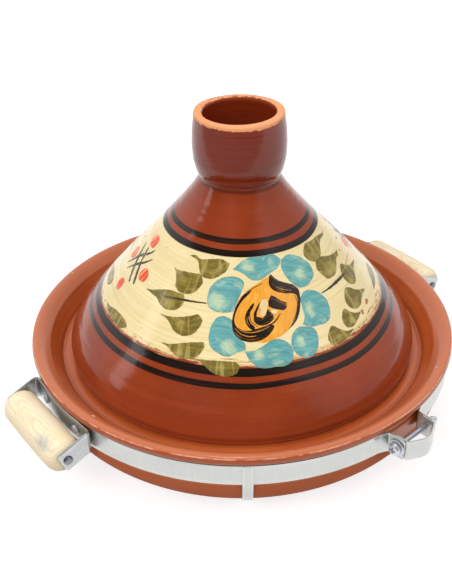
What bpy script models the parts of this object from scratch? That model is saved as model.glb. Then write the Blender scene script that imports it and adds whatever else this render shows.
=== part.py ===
"""Cooking tagine: glazed clay dish and lid in a clamped steel band with two wooden grips.

Units are metres and +Z is up. The origin lies on the table, under the middle of the dish,
where the two straps cross. The two handles lie along X.
"""
import math

import bmesh
import bpy
from mathutils import Matrix, Vector
from mathutils.geometry import interpolate_bezier

# General
CLEARANCE = 0.0003            # between two pieces that touch
BORE_CLEARANCE = 0.00015      # round a pin in its hole
BIG_STEPS = 56                # facets round the dish and the lid
SMALL_STEPS = 12              # facets round rivets, washers and screws
GRIP_STEPS = 24               # facets round a wooden grip

# Dish
RIM_RADIUS = 0.160            # widest circle of the lip
RIM_HEIGHT = 0.0655           # of that circle above the table
LIP_RISE = 0.0036             # lip top above the widest circle
LIP_WIDTH = 0.0135            # across the lip
LIP_INNER_DROP = 0.0029       # inner edge of the lip below the widest circle
LIP_TOP_INSET = 0.0028        # lip top in from the widest circle
LIP_BEAD_DEPTH = 0.0020       # underside of the bead below the widest circle
LIP_BEAD_INSET = 0.0016       # underside of the bead in from the widest circle
LIP_SLOPE = 41.0              # of the lip's top where it leaves the inner edge, in degrees
NECK_INSET = 0.0050           # neck under the bead, in from the widest circle
NECK_HEIGHT = 0.0075          # of the groove that takes the strap hooks
WALL_INSET = 0.0038           # wall behind the band, in from the widest circle
WALL_STEP = 0.0010            # slope between the groove and the wall
WALL_BOTTOM_DROP = 0.0210     # where the wall starts to round under
FOOT_RADIUS = 0.092           # outer edge of the flat foot ring
FOOT_WIDTH = 0.012
FOOT_RECESS = 0.0035
FOOT_DRAFT = 0.0020           # slope inside the foot ring
LEDGE_DROP = 0.0136           # lid seat below the widest circle
LEDGE_MARGIN = 0.0035         # seat out past the lid's widest circle
LEDGE_WIDTH = 0.0105
LEDGE_BEVEL = 0.0015          # inner corner of the seat
CREASE_WIDTH = 0.0035         # gutter round the outside of the seat
CREASE_DEPTH = 0.0010
CREASE_OUTER_WIDTH = 0.0025   # gutter's outer side
CREASE_OUTER_RISE = 0.0030
LIP_COVE_TURNS = (50.0, 58.0) # slopes at the foot and the top of the lip's inner side, in degrees
BOWL_WALL_INSET = 0.0010      # bowl's wall in from the seat's inner corner
BOWL_WALL_DROP = 0.0060       # top of the bowl's curve below the seat
BOWL_BOTTOM_RADIUS = 0.080
BOWL_PULLS = (0.56, 0.42)     # fullness of the bowl's curve along the floor and up the wall
FLOOR_THICKNESS = 0.009

# Lid, with heights above its lower edge
LID_INSET = 0.029             # lid's widest circle in from the dish's
LID_SHOULDER_HEIGHT = 0.0075
LID_EDGE_ROUNDING = 0.0030
LID_FLANK_RADIUS = 0.0935     # half way up the flank
LID_FLANK_HEIGHT = 0.060
LID_FLANK_SLOPE = 130.1       # of the flank there, in degrees from the outward direction
LID_LOWER_PULLS = (0.20, 0.32)    # fullness of the flank's lower curve at the shoulder and half way up
LID_UPPER_PULLS = (0.36, 0.16)    # fullness of its upper curve half way up and at the neck
LID_NECK_RADIUS = 0.0288      # crease below the knob
LID_NECK_HEIGHT = 0.138
LID_NECK_TURNS = (112.0, -116.0)  # slopes of the flank and of the knob's foot at the crease, in degrees
LID_WALL = 0.0095
LID_HOLLOW_TOP = 0.116        # top of the hollow under the neck
LID_HOLLOW_CROWN = 0.016      # radius of the flatter top of the hollow
LID_HOLLOW_CROWN_RISE = 0.004
KNOB_RADIUS = 0.0334          # widest, half way up the knob
KNOB_SWELL_HEIGHT = 0.162
KNOB_RIM_RADIUS = 0.0315
KNOB_RIM_SLOPE = -82.0        # of the knob's side just under its rim, in degrees
KNOB_HEIGHT = 0.185           # top of the knob's rim
KNOB_WALL = 0.0062
KNOB_RIM_ROUNDING = 0.0017    # of the flat rim's two edges
CUP_DEPTH = 0.040
CUP_FLOOR_RADIUS = 0.0115
CUP_PULLS = (0.26, 0.34)      # fullness of the cup's curve at its floor and its wall

# Steel band
BAND_HEIGHT = 0.0162
BAND_THICKNESS = 0.0012
BAND_TOP_DROP = 0.0045        # below the widest circle of the lip
BAND_STEPS = 60

# Clamp that draws the band's ends together
CLAMP_AZIMUTH = math.radians(-84.0)
CREASE_OFFSET = 0.0225        # crease from the middle of the clamp, along the band
TAB_OFFSET = 0.0155           # tab from the middle of the clamp
TAB_BEND = 0.0016             # radius of the tab's bend
TAB_ROOT = 0.0014             # how far the tab's bend stands out of the band's middle line
TAB_REACH = 0.0145            # how far the tab stands out of the band's middle line
SCREW_REACH = 0.0088          # screw axis out of the band's middle line
SCREW_DIAMETER = 0.0040
SCREW_HEAD_DIAMETER = 0.0090
SCREW_HEAD_HEIGHT = 0.0034
SCREW_SLOT_WIDTH = 0.0012
SCREW_SLOT_DEPTH = 0.0016
WASHER_DIAMETER = 0.0124
WASHER_THICKNESS = 0.0010
NUT_DIAMETER = 0.0064
NUT_LENGTH = 0.0060
NUT_CHAMFER = 0.0006
SCREW_END = 0.0022            # screw past the nut
SCREW_CHAMFER = 0.0004
BOW_THICKNESS = 0.0010
BOW_HEIGHT = 0.0140
BOW_BULGE = 0.0085            # middle of the bow past the ends of the tabs
BOW_SHOULDER = 0.0015         # shoulders of the bow past the ends of the tabs
BOW_FOOT = 0.0050             # lower end of the bow's flanges out of the band's middle line
BOW_BEND = 0.0030             # radius at the bow's shoulders
BOW_CROWN = 0.0120            # radius at the middle of the bow

# Straps under the dish
STRAP_AZIMUTH = math.radians(-126.0)
STRAP_WIDTH = 0.0072
STRAP_THICKNESS = 0.0009
HOOK_LENGTH = 0.0042          # of the hook behind the band
HOOK_BEND = 0.0007            # radius of the hook's bends
STRAP_LEAVES = 0.0010         # below the band, where the strap turns inwards
STRAP_PULL = 0.0030           # fullness of that turn
STRAP_LANDS = (10, 16)        # where the strap comes to lie on the dish, in degrees of its underside
CROSSING_HALF = 0.009         # half length of the raised middle of the upper strap
CROSSING_RAMP = 0.010

# Handles
HANDLE_AZIMUTHS = {"left": math.pi, "right": 0.0}
GRIP_LENGTH = 0.074
GRIP_RADIUS = 0.0134
GRIP_END_RADIUS = 0.0129
GRIP_ROUNDING = 0.0078
GRIP_REACH = 0.0173           # grip axis out of the band's middle line
GRIP_DROP = 0.0057            # grip axis below the middle of the band
BRACKET_THICKNESS = 0.0015
BRACKET_HEIGHT = 0.0176
BRACKET_BEND = 0.0030
ARM_END = 0.0044              # arm past the grip axis
ROD_DIAMETER = 0.0050
ROD_HEAD_DIAMETER = 0.0066
ROD_HEAD_HEIGHT = 0.0014
RIVET_OFFSET = 0.021          # from the middle of the handle, along the band
RIVET_DIAMETER = 0.0040
RIVET_HEAD_DIAMETER = 0.0076
RIVET_HEAD_HEIGHT = 0.0016

# Places that follow from the sizes above
FOOT_Z = STRAP_THICKNESS + CLEARANCE
LEDGE_Z = RIM_HEIGHT - LEDGE_DROP
LID_Z = LEDGE_Z + CLEARANCE
WALL_RADIUS = RIM_RADIUS - WALL_INSET
NECK_RADIUS = RIM_RADIUS - NECK_INSET
BAND_RADIUS = WALL_RADIUS + CLEARANCE + BAND_THICKNESS / 2
BAND_TOP = RIM_HEIGHT - BAND_TOP_DROP
BAND_MIDDLE = BAND_TOP - BAND_HEIGHT / 2
BAND_BOTTOM = BAND_TOP - BAND_HEIGHT
BAND_OUTSIDE = BAND_RADIUS + BAND_THICKNESS / 2
GRIP_AXIS_RADIUS = BAND_RADIUS + GRIP_REACH
GRIP_AXIS_Z = BAND_MIDDLE - GRIP_DROP
LID_RADIUS = RIM_RADIUS - LID_INSET
LEDGE_OUTER_RADIUS = LID_RADIUS + LEDGE_MARGIN
LEDGE_INNER_RADIUS = LEDGE_OUTER_RADIUS - LEDGE_WIDTH
UNDERSIDE_TOP = RIM_HEIGHT - WALL_BOTTOM_DROP
UNDERSIDE_WIDTH = WALL_RADIUS - FOOT_RADIUS
UNDERSIDE_DEPTH = UNDERSIDE_TOP - FOOT_Z


def remove_everything():
    """Start from an empty scene."""
    for item in list(bpy.data.objects):
        bpy.data.objects.remove(item, do_unlink=True)


def make_material(name, colour, roughness, metallic=0.0):
    """Plain Principled BSDF with the piece's own colour."""
    material = bpy.data.materials.new(name)
    material.use_nodes = True
    shader = material.node_tree.nodes["Principled BSDF"]
    shader.inputs["Base Color"].default_value = (*colour, 1.0)
    shader.inputs["Roughness"].default_value = roughness
    shader.inputs["Metallic"].default_value = metallic
    return material


def add_object(name, mesh_data, material, parent=None, place=None):
    """Turn a bmesh into a named object with one material."""
    bmesh.ops.recalc_face_normals(mesh_data, faces=mesh_data.faces[:])
    mesh = bpy.data.meshes.new(name)
    mesh_data.to_mesh(mesh)
    mesh_data.free()
    mesh.materials.append(material)
    item = bpy.data.objects.new(name, mesh)
    bpy.context.scene.collection.objects.link(item)
    item.parent = parent
    if place is not None:
        item.matrix_local = place
    return item


def smooth(item, angle=35.0):
    """Shade round faces smooth and keep true edges sharp."""
    item.data.shade_smooth()
    item.data.set_sharp_from_angle(angle=math.radians(angle))
    return item


def add_empty(name, azimuth):
    """Frame whose X points outwards at one azimuth, for the pieces of one fitting."""
    empty = bpy.data.objects.new(name, None)
    empty.rotation_euler = (0.0, 0.0, azimuth)
    bpy.context.scene.collection.objects.link(empty)
    bpy.context.view_layer.update()
    return empty


def turned(name, profile, steps, material, parent=None, place=None):
    """Revolve a profile of (radius, height) points about Z into one closed body."""
    mesh_data = bmesh.new()
    rows = [mesh_data.verts.new((radius, 0.0, height)) for radius, height in profile]
    edges = [mesh_data.edges.new(pair) for pair in zip(rows, rows[1:])]
    if profile[0][0] > 0.0:
        edges.append(mesh_data.edges.new((rows[-1], rows[0])))
    bmesh.ops.spin(mesh_data, geom=rows + edges, cent=(0, 0, 0), axis=(0, 0, 1),
                   angle=2 * math.pi, steps=steps, use_merge=True)
    bmesh.ops.remove_doubles(mesh_data, verts=mesh_data.verts[:], dist=1e-6)
    return smooth(add_object(name, mesh_data, material, parent, place))


def facing(place, direction):
    """Place that turns a piece's Z towards a direction."""
    turn = Vector(direction).to_track_quat("Z", "Y").to_matrix().to_4x4()
    return Matrix.Translation(place) @ turn


def curve(start, handle_a, handle_b, end, count):
    """Points of one Bezier curve, both ends included."""
    flat = [Vector((x, y, 0.0)) for x, y in (start, handle_a, handle_b, end)]
    return [(p.x, p.y) for p in interpolate_bezier(flat[0], flat[1], flat[2], flat[3], count)]


def swing(start, start_turn, end, end_turn, count, pulls=(0.36, 0.36)):
    """Points of a curve that leaves start and reaches end in the given directions, in degrees.

    pulls are the lengths of the two handles as parts of the straight distance: more is fuller.
    """
    reach = math.dist(start, end)
    leave = math.radians(start_turn)
    arrive = math.radians(end_turn)
    handle_a = (start[0] + reach * pulls[0] * math.cos(leave), start[1] + reach * pulls[0] * math.sin(leave))
    handle_b = (end[0] - reach * pulls[1] * math.cos(arrive), end[1] - reach * pulls[1] * math.sin(arrive))
    return curve(start, handle_a, handle_b, end, count)


def rounded(corners, radii, count=4):
    """Line through the corners, with an arc of the given radius at each inner corner."""
    points = [Vector(corners[0])]
    for before, corner, after, radius in zip(corners, corners[1:], corners[2:], radii):
        corner = Vector(corner)
        back = (Vector(before) - corner).normalized()
        ahead = (Vector(after) - corner).normalized()
        half = back.angle(ahead) / 2
        centre = corner + (back + ahead).normalized() * radius / math.sin(half)
        first = (corner + back * radius / math.tan(half) - centre).normalized()
        last = (corner + ahead * radius / math.tan(half) - centre).normalized()
        points += [centre + first.slerp(last, i / count) * radius for i in range(count + 1)]
    points.append(Vector(corners[-1]))
    return points


def strip(name, path, side, width, thickness, material, parent=None, slope=0.0, slope_from=0.0):
    """Flat strip bent along a plane path, the middle line; side is the way of its width.

    slope lowers what lies beyond slope_from along X, as a bracket's drooping arms do, and
    slants those arms more and more, until their ends are square to the droop.
    """
    mesh_data = bmesh.new()
    side = Vector(side)
    droop = math.atan(slope)
    reach = max(point.x for point in path) - slope_from
    rings = []
    for index, point in enumerate(path):
        into = (point - path[index - 1]).normalized() if index else None
        out = (path[index + 1] - point).normalized() if index + 1 < len(path) else into
        into = into or out
        normal = (into + out).normalized().cross(side)
        mitre = 1.0 / normal.dot(into.cross(side))
        offset = normal * mitre * thickness / 2
        slant = math.sin(droop) * math.cos(droop) * max(0.0, point.x - slope_from) / reach
        half = (side + Vector((slant, 0, 0))) * width / 2
        corners = (point + offset + half, point - offset + half,
                   point - offset - half, point + offset - half)
        rings.append([mesh_data.verts.new((corner.x, corner.y, corner.z - slope * max(0.0, corner.x - slope_from)))
                      for corner in corners])
    for near, far in zip(rings, rings[1:]):
        for a in range(4):
            b = (a + 1) % 4
            mesh_data.faces.new((near[a], near[b], far[b], far[a]))
    mesh_data.faces.new(rings[0])
    mesh_data.faces.new(rings[-1][::-1])
    return smooth(add_object(name, mesh_data, material, parent), 40.0)


def cut(target, cutter):
    """Take a cutter's shape out of a piece."""
    cutter.hide_render = True
    cutter.display_type = "WIRE"
    modifier = target.modifiers.new("cut_" + cutter.name, "BOOLEAN")
    modifier.operation = "DIFFERENCE"
    modifier.solver = "EXACT"
    modifier.object = cutter


def drill(name, diameter, length, parent, place, direction):
    """Cylindrical cutter about a point."""
    radius = diameter / 2
    profile = [(0.0, length / 2), (radius, length / 2), (radius, -length / 2), (0.0, -length / 2)]
    return turned(name, profile, SMALL_STEPS, MATERIALS["steel"], parent, facing(place, direction))


def underside(turn, offset=0.0):
    """Point of the dish's rounded underside; turn runs from the wall, 0, to the foot, 90 degrees."""
    across = Vector((math.cos(turn) / UNDERSIDE_WIDTH, -math.sin(turn) / UNDERSIDE_DEPTH))
    across = across.normalized() * offset
    radius = FOOT_RADIUS + UNDERSIDE_WIDTH * math.cos(turn) + across.x
    height = UNDERSIDE_TOP - UNDERSIDE_DEPTH * math.sin(turn) + across.y
    return (radius, height)


def dish_profile():
    """Outline from the middle of the floor, over the lip and under to the foot."""
    floor = FOOT_Z + FOOT_RECESS + FLOOR_THICKNESS
    bowl_edge = (LEDGE_INNER_RADIUS - BOWL_WALL_INSET, LEDGE_Z - BOWL_WALL_DROP)
    inner_edge = (RIM_RADIUS - LIP_WIDTH, RIM_HEIGHT - LIP_INNER_DROP)
    crease = (LEDGE_OUTER_RADIUS + CREASE_WIDTH, LEDGE_Z - CREASE_DEPTH)
    cove_foot = (crease[0] + CREASE_OUTER_WIDTH, crease[1] + CREASE_OUTER_RISE)
    lip_top = (RIM_RADIUS - LIP_TOP_INSET, RIM_HEIGHT + LIP_RISE)
    widest = (RIM_RADIUS, RIM_HEIGHT)
    bead_bottom = (RIM_RADIUS - LIP_BEAD_INSET, RIM_HEIGHT - LIP_BEAD_DEPTH)
    neck_bottom = bead_bottom[1] - NECK_HEIGHT
    foot_inner = FOOT_RADIUS - FOOT_WIDTH
    points = [(0.0, floor)]
    points += swing((BOWL_BOTTOM_RADIUS, floor), 0, bowl_edge, 90, 6, BOWL_PULLS)
    points += [(LEDGE_INNER_RADIUS, LEDGE_Z - LEDGE_BEVEL), (LEDGE_INNER_RADIUS + LEDGE_BEVEL, LEDGE_Z)]
    points += [(LEDGE_OUTER_RADIUS, LEDGE_Z), crease]
    points += swing(cove_foot, LIP_COVE_TURNS[0], inner_edge, LIP_COVE_TURNS[1], 3)
    points += swing(inner_edge, LIP_SLOPE, lip_top, 0, 5)[1:]
    points += swing(lip_top, 0, widest, -90, 3)[1:]
    points += swing(widest, -90, bead_bottom, -150, 3)[1:]
    points += [(NECK_RADIUS, bead_bottom[1]), (NECK_RADIUS, neck_bottom)]
    points += [(WALL_RADIUS, neck_bottom - WALL_STEP)]
    points += [underside(math.radians(turn)) for turn in range(0, 91, 10)]
    points += [(foot_inner, FOOT_Z), (foot_inner - FOOT_DRAFT, FOOT_Z + FOOT_RECESS)]
    points += [(0.0, FOOT_Z + FOOT_RECESS)]
    return points


def lid_flank():
    """Outside of the lid from the shoulder up to the neck."""
    shoulder = (LID_RADIUS, LID_SHOULDER_HEIGHT)
    middle = (LID_FLANK_RADIUS, LID_FLANK_HEIGHT)
    neck = (LID_NECK_RADIUS, LID_NECK_HEIGHT)
    lower = swing(shoulder, 90, middle, LID_FLANK_SLOPE, 7, LID_LOWER_PULLS)
    upper = swing(middle, LID_FLANK_SLOPE, neck, LID_NECK_TURNS[0], 10, LID_UPPER_PULLS)
    return lower + upper[1:]


def lid_hollow(flank):
    """Inside of the lid, one wall in from the flank, up to where it closes over."""
    points = []
    for before, point, after in zip(flank, flank[1:], flank[2:]):
        along = (Vector(after) - Vector(before)).normalized()
        inwards = Vector((-along.y, along.x)) * LID_WALL
        inner = Vector(point) + inwards
        if inner.y < LID_HOLLOW_TOP - LID_WALL:
            points.append((inner.x, inner.y))
    return points[::2]


def lid_profile():
    """Outline from the floor of the knob's cup, over its rim, down the flank and up inside."""
    flank = lid_flank()
    rim_base = KNOB_HEIGHT - KNOB_RIM_ROUNDING
    cup_floor = KNOB_HEIGHT - CUP_DEPTH
    cup_radius = KNOB_RIM_RADIUS - KNOB_WALL
    swell = (KNOB_RADIUS, KNOB_SWELL_HEIGHT)
    neck = (LID_NECK_RADIUS, LID_NECK_HEIGHT)
    points = [(0.0, cup_floor)]
    points += swing((CUP_FLOOR_RADIUS, cup_floor), 0, (cup_radius, rim_base), 90, 6, CUP_PULLS)
    points += [(cup_radius + KNOB_RIM_ROUNDING, KNOB_HEIGHT), (KNOB_RIM_RADIUS - KNOB_RIM_ROUNDING, KNOB_HEIGHT)]
    points += swing((KNOB_RIM_RADIUS, rim_base), KNOB_RIM_SLOPE, swell, -90, 3)
    points += swing(swell, -90, neck, LID_NECK_TURNS[1], 5)[1:-1]
    points += flank[::-1]
    edge_inner = LID_RADIUS - LID_WALL
    points += [(LID_RADIUS - LID_EDGE_ROUNDING / 3, LID_EDGE_ROUNDING * 0.7)]
    points += [(LID_RADIUS - LID_EDGE_ROUNDING, 0.0), (edge_inner, 0.0)]
    points += lid_hollow(flank)
    points += [(LID_HOLLOW_CROWN, LID_HOLLOW_TOP - LID_HOLLOW_CROWN_RISE), (0.0, LID_HOLLOW_TOP)]
    return points


def band_path():
    """Middle line of the band: one tab, the crease, round the dish and out to the other tab."""
    crease_turn = math.asin(CREASE_OFFSET / BAND_RADIUS)
    bend = (BAND_RADIUS + TAB_ROOT, TAB_OFFSET)
    tip = (BAND_RADIUS + TAB_REACH, TAB_OFFSET)
    crease = (BAND_RADIUS * math.cos(crease_turn), CREASE_OFFSET)
    tab = rounded([crease, bend, tip], [TAB_BEND])[::-1]
    sweep = 2 * math.pi - 2 * crease_turn
    arc = [(BAND_RADIUS * math.cos(crease_turn + sweep * i / BAND_STEPS),
            BAND_RADIUS * math.sin(crease_turn + sweep * i / BAND_STEPS))
           for i in range(1, BAND_STEPS)]
    mirrored = [(point.x, -point.y) for point in tab[::-1]]
    local = [(point.x, point.y) for point in tab] + arc + mirrored
    turn = Matrix.Rotation(CLAMP_AZIMUTH, 3, "Z")
    return [turn @ Vector((x, y, BAND_MIDDLE)) for x, y in local]


def bow_path():
    """Middle line of the bow: a flange inside each tab and the bulge between them."""
    flange = TAB_OFFSET - BAND_THICKNESS / 2 - CLEARANCE - BOW_THICKNESS / 2
    foot = BAND_RADIUS + BOW_FOOT
    shoulder = BAND_RADIUS + TAB_REACH + BOW_SHOULDER
    bulge = BAND_RADIUS + TAB_REACH + BOW_BULGE
    corners = [(foot, -flange), (shoulder, -flange), (bulge, 0.0), (shoulder, flange), (foot, flange)]
    path = rounded(corners, [BOW_BEND, BOW_CROWN, BOW_BEND])
    return [Vector((point.x, point.y, BAND_MIDDLE)) for point in path]


def strap_path(raised):
    """Middle line of a strap from one hook to the other, in its own plane."""
    inner = NECK_RADIUS + CLEARANCE + STRAP_THICKNESS / 2
    outer = BAND_OUTSIDE + CLEARANCE + STRAP_THICKNESS / 2
    top = BAND_TOP + CLEARANCE + STRAP_THICKNESS / 2
    seat = CLEARANCE + STRAP_THICKNESS / 2
    hook = rounded([(inner, top - HOOK_LENGTH), (inner, top), (outer, top), (outer, BAND_BOTTOM)],
                   [HOOK_BEND, HOOK_BEND], 3)
    above, join = [underside(math.radians(turn), seat) for turn in STRAP_LANDS]
    leave = BAND_BOTTOM - STRAP_LEAVES
    lead = curve((outer, leave), (outer, leave - STRAP_PULL), above, join, 4)
    under = [underside(math.radians(turn), seat) for turn in range(25, 91, 9)]
    under[-1] = underside(math.radians(90), seat)
    half = [(point.x, point.y) for point in hook] + lead + under
    base = STRAP_THICKNESS / 2
    if raised:
        lift = STRAP_THICKNESS + CLEARANCE
        half += [(CROSSING_HALF + CROSSING_RAMP, base), (CROSSING_HALF, base + lift)]
    return half + [(-x, z) for x, z in reversed(half)]


def make_strap(name, azimuth, raised):
    """One strap from hook to hook under the dish."""
    along = Vector((math.cos(azimuth), math.sin(azimuth), 0.0))
    side = Vector((-along.y, along.x, 0.0))
    path = [along * x + Vector((0, 0, z)) for x, z in strap_path(raised)]
    strip(name, path, side, STRAP_WIDTH, STRAP_THICKNESS, MATERIALS["steel"])


def bracket_path():
    """Middle line of a handle bracket: arm, back along the band, arm."""
    back_radius = BAND_OUTSIDE + CLEARANCE + BRACKET_THICKNESS / 2
    arm = GRIP_LENGTH / 2 + CLEARANCE + BRACKET_THICKNESS / 2
    end = GRIP_AXIS_RADIUS + ARM_END
    spread = math.asin((arm - BRACKET_BEND) / back_radius)
    corner = (back_radius * math.cos(spread) - BRACKET_BEND * math.tan(spread), arm)
    near = (back_radius * math.cos(spread), arm - BRACKET_BEND)
    bend = rounded([(end, arm), corner, near], [BRACKET_BEND * 0.6])
    back = [(back_radius * math.cos(spread * i / 6), back_radius * math.sin(spread * i / 6))
            for i in range(5, -6, -1)]
    mirrored = [(point.x, -point.y) for point in reversed(bend)]
    local = [(point.x, point.y) for point in bend] + back + mirrored
    return [Vector((x, y, BAND_MIDDLE)) for x, y in local]


def grip_profile():
    """Barrel of a wooden grip with its bore."""
    half = GRIP_LENGTH / 2
    bore = ROD_DIAMETER / 2 + BORE_CLEARANCE * 2
    face = GRIP_END_RADIUS - GRIP_ROUNDING
    end = curve((face, half), (face + GRIP_ROUNDING * 0.6, half),
                (GRIP_END_RADIUS, half - GRIP_ROUNDING * 0.4),
                (GRIP_END_RADIUS, half - GRIP_ROUNDING), 5)
    belly = curve(end[-1], (GRIP_END_RADIUS + 0.0006, half * 0.62), (GRIP_RADIUS, half * 0.40),
                  (GRIP_RADIUS, 0.0), 5)
    outside = end + belly[1:]
    lower = [(radius, -height) for radius, height in reversed(outside[:-1])]
    return [(bore, half)] + outside + lower + [(bore, -half)]


def domed_pin(shank, head, height, start, seat, crown):
    """Pin from start up to a domed head that sits at seat; crown flattens the dome's top."""
    return [(0.0, start), (shank / 2, start), (shank / 2, seat), (head / 2, seat),
            (head / 2 - height * 0.25, seat + height * 0.55), (crown, seat + height),
            (0.0, seat + height)]


def make_handle(side, azimuth):
    """Bracket, grip, rod and rivets of one handle, and the rivet holes in the band."""
    frame = add_empty("handle_frame_" + side, azimuth)
    steel = MATERIALS["steel"]
    back_outside = BAND_OUTSIDE + CLEARANCE + BRACKET_THICKNESS
    droop = GRIP_DROP / (GRIP_AXIS_RADIUS - back_outside)
    bracket = strip("handle_bracket_" + side, bracket_path(), (0, 0, 1), BRACKET_HEIGHT,
                    BRACKET_THICKNESS, steel, frame, slope=droop, slope_from=back_outside)
    axis_place = (GRIP_AXIS_RADIUS, 0.0, GRIP_AXIS_Z)
    grip_place = facing(axis_place, (0, 1, 0))
    turned("grip_" + side, grip_profile(), GRIP_STEPS, MATERIALS["wood"], frame, grip_place)

    arm_outside = GRIP_LENGTH / 2 + CLEARANCE + BRACKET_THICKNESS
    seat = arm_outside + CLEARANCE
    top = domed_pin(ROD_DIAMETER, ROD_HEAD_DIAMETER, ROD_HEAD_HEIGHT, 0.0, seat, ROD_DIAMETER * 0.3)[2:]
    rod = [(radius, -height) for radius, height in reversed(top)] + top
    turned("grip_rod_" + side, rod, SMALL_STEPS, steel, frame, grip_place)
    rod_hole = drill("cut_rod_" + side, ROD_DIAMETER + 2 * BORE_CLEARANCE, 2.4 * arm_outside,
                     frame, axis_place, (0, 1, 0))
    cut(bracket, rod_hole)

    band = bpy.data.objects["belt_band"]
    spread = math.asin(RIVET_OFFSET / back_outside)
    for label, turn in (("a", -spread), ("b", spread)):
        outwards = (math.cos(turn), math.sin(turn), 0.0)
        foot = (0.0, 0.0, BAND_MIDDLE)
        start = BAND_RADIUS - BAND_THICKNESS / 2
        rivet = domed_pin(RIVET_DIAMETER, RIVET_HEAD_DIAMETER, RIVET_HEAD_HEIGHT, start,
                          back_outside + CLEARANCE, RIVET_HEAD_DIAMETER * 0.18)
        name = side + "_" + label
        turned("bracket_rivet_" + name, rivet, SMALL_STEPS, steel, frame, facing(foot, outwards))
        middle = (outwards[0] * BAND_OUTSIDE, outwards[1] * BAND_OUTSIDE, BAND_MIDDLE)
        hole = drill("cut_rivet_" + name, RIVET_DIAMETER + 2 * BORE_CLEARANCE,
                     8 * BRACKET_THICKNESS, frame, middle, outwards)
        cut(band, hole)
        cut(bracket, hole)


def make_clamp():
    """Bow, screw, washers and nut, and the screw holes in the band's tabs."""
    frame = add_empty("clamp_frame", CLAMP_AZIMUTH)
    steel = MATERIALS["steel"]
    bow = strip("clamp_bow", bow_path(), (0, 0, 1), BOW_HEIGHT, BOW_THICKNESS, steel, frame)
    axis_radius = BAND_RADIUS + SCREW_REACH
    axis_place = (axis_radius, 0.0, BAND_MIDDLE)
    along = facing(axis_place, (0, 1, 0))
    tab_outside = TAB_OFFSET + BAND_THICKNESS / 2
    hole = SCREW_DIAMETER / 2 + BORE_CLEARANCE
    washer_near = tab_outside + CLEARANCE
    washer_far = washer_near + WASHER_THICKNESS
    for name, way in (("clamp_washer", -1), ("clamp_nut_washer", 1)):
        ring = [(hole, way * washer_near), (WASHER_DIAMETER / 2, way * washer_near),
                (WASHER_DIAMETER / 2, way * washer_far), (hole, way * washer_far)]
        turned(name, ring, SMALL_STEPS + 6, steel, frame, along)
    nut_near = washer_far + CLEARANCE
    nut_far = nut_near + NUT_LENGTH
    nut_radius = NUT_DIAMETER / 2
    nut = [(hole, nut_near), (nut_radius, nut_near), (nut_radius, nut_far - NUT_CHAMFER),
           (nut_radius - NUT_CHAMFER, nut_far), (hole, nut_far)]
    turned("clamp_nut", nut, SMALL_STEPS, steel, frame, along)

    head_seat = -(washer_far + CLEARANCE)
    head_top = head_seat - SCREW_HEAD_HEIGHT
    shank_end = nut_far + SCREW_END
    head_radius = SCREW_HEAD_DIAMETER / 2
    shank = SCREW_DIAMETER / 2
    screw_profile = [(0.0, shank_end), (shank - SCREW_CHAMFER, shank_end),
                     (shank, shank_end - SCREW_CHAMFER), (shank, head_seat),
                     (head_radius, head_seat), (head_radius, head_seat - SCREW_HEAD_HEIGHT * 0.45),
                     (head_radius * 0.82, head_top + SCREW_HEAD_HEIGHT * 0.14),
                     (head_radius * 0.45, head_top), (0.0, head_top)]
    screw = turned("clamp_screw", screw_profile, SMALL_STEPS + 6, steel, frame, along)
    for name, length, width in (("cut_slot_a", head_radius * 1.1, SCREW_SLOT_WIDTH),
                                ("cut_slot_b", SCREW_SLOT_WIDTH, head_radius * 1.1)):
        block = bmesh.new()
        bmesh.ops.create_cube(block, size=1.0)
        bmesh.ops.scale(block, vec=(length, width, 2 * SCREW_SLOT_DEPTH), verts=block.verts[:])
        place = along @ Matrix.Translation((0.0, 0.0, head_top))
        slot = add_object(name, block, steel, frame, place)
        cut(screw, slot)
    bore = drill("cut_screw", 2 * hole, 2.4 * tab_outside, frame, axis_place, (0, 1, 0))
    cut(bow, bore)
    cut(bpy.data.objects["belt_band"], bore)


remove_everything()
MATERIALS = {
    "clay": make_material("glazed_clay", (0.36, 0.10, 0.035), 0.22),
    "steel": make_material("galvanised_steel", (0.62, 0.63, 0.62), 0.38, 1.0),
    "wood": make_material("pale_wood", (0.80, 0.66, 0.40), 0.55),
}
turned("dish", dish_profile(), BIG_STEPS, MATERIALS["clay"])
turned("lid", lid_profile(), BIG_STEPS, MATERIALS["clay"], place=Matrix.Translation((0, 0, LID_Z)))
strip("belt_band", band_path(), (0, 0, 1), BAND_HEIGHT, BAND_THICKNESS, MATERIALS["steel"])
make_strap("under_strap_lower", STRAP_AZIMUTH, raised=False)
make_strap("under_strap_upper", STRAP_AZIMUTH + math.pi / 2, raised=True)
for handle_side, handle_azimuth in HANDLE_AZIMUTHS.items():
    make_handle(handle_side, handle_azimuth)
make_clamp()
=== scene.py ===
# %% [markdown]
# A cooking tagine, dressed for its portrait.
# The real object is a glazed clay dish with a tall clay lid. A steel band is clamped round the
# dish, two straps pass under it, and two wooden grips turn on rods in folded brackets.
# The imported model gives every place and every joint. This script puts a finer surface over each
# of its pieces, paints them with procedural materials, and sets the lamps and camera for the picture.
# Every surface here is a formula on a grid, because a turned pot, a bent strip and a brush stroke
# are each one simple rule carried along one line.

# %% Load the imported model
import math

import bpy
import numpy as np
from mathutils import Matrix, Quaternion, Vector


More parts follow.
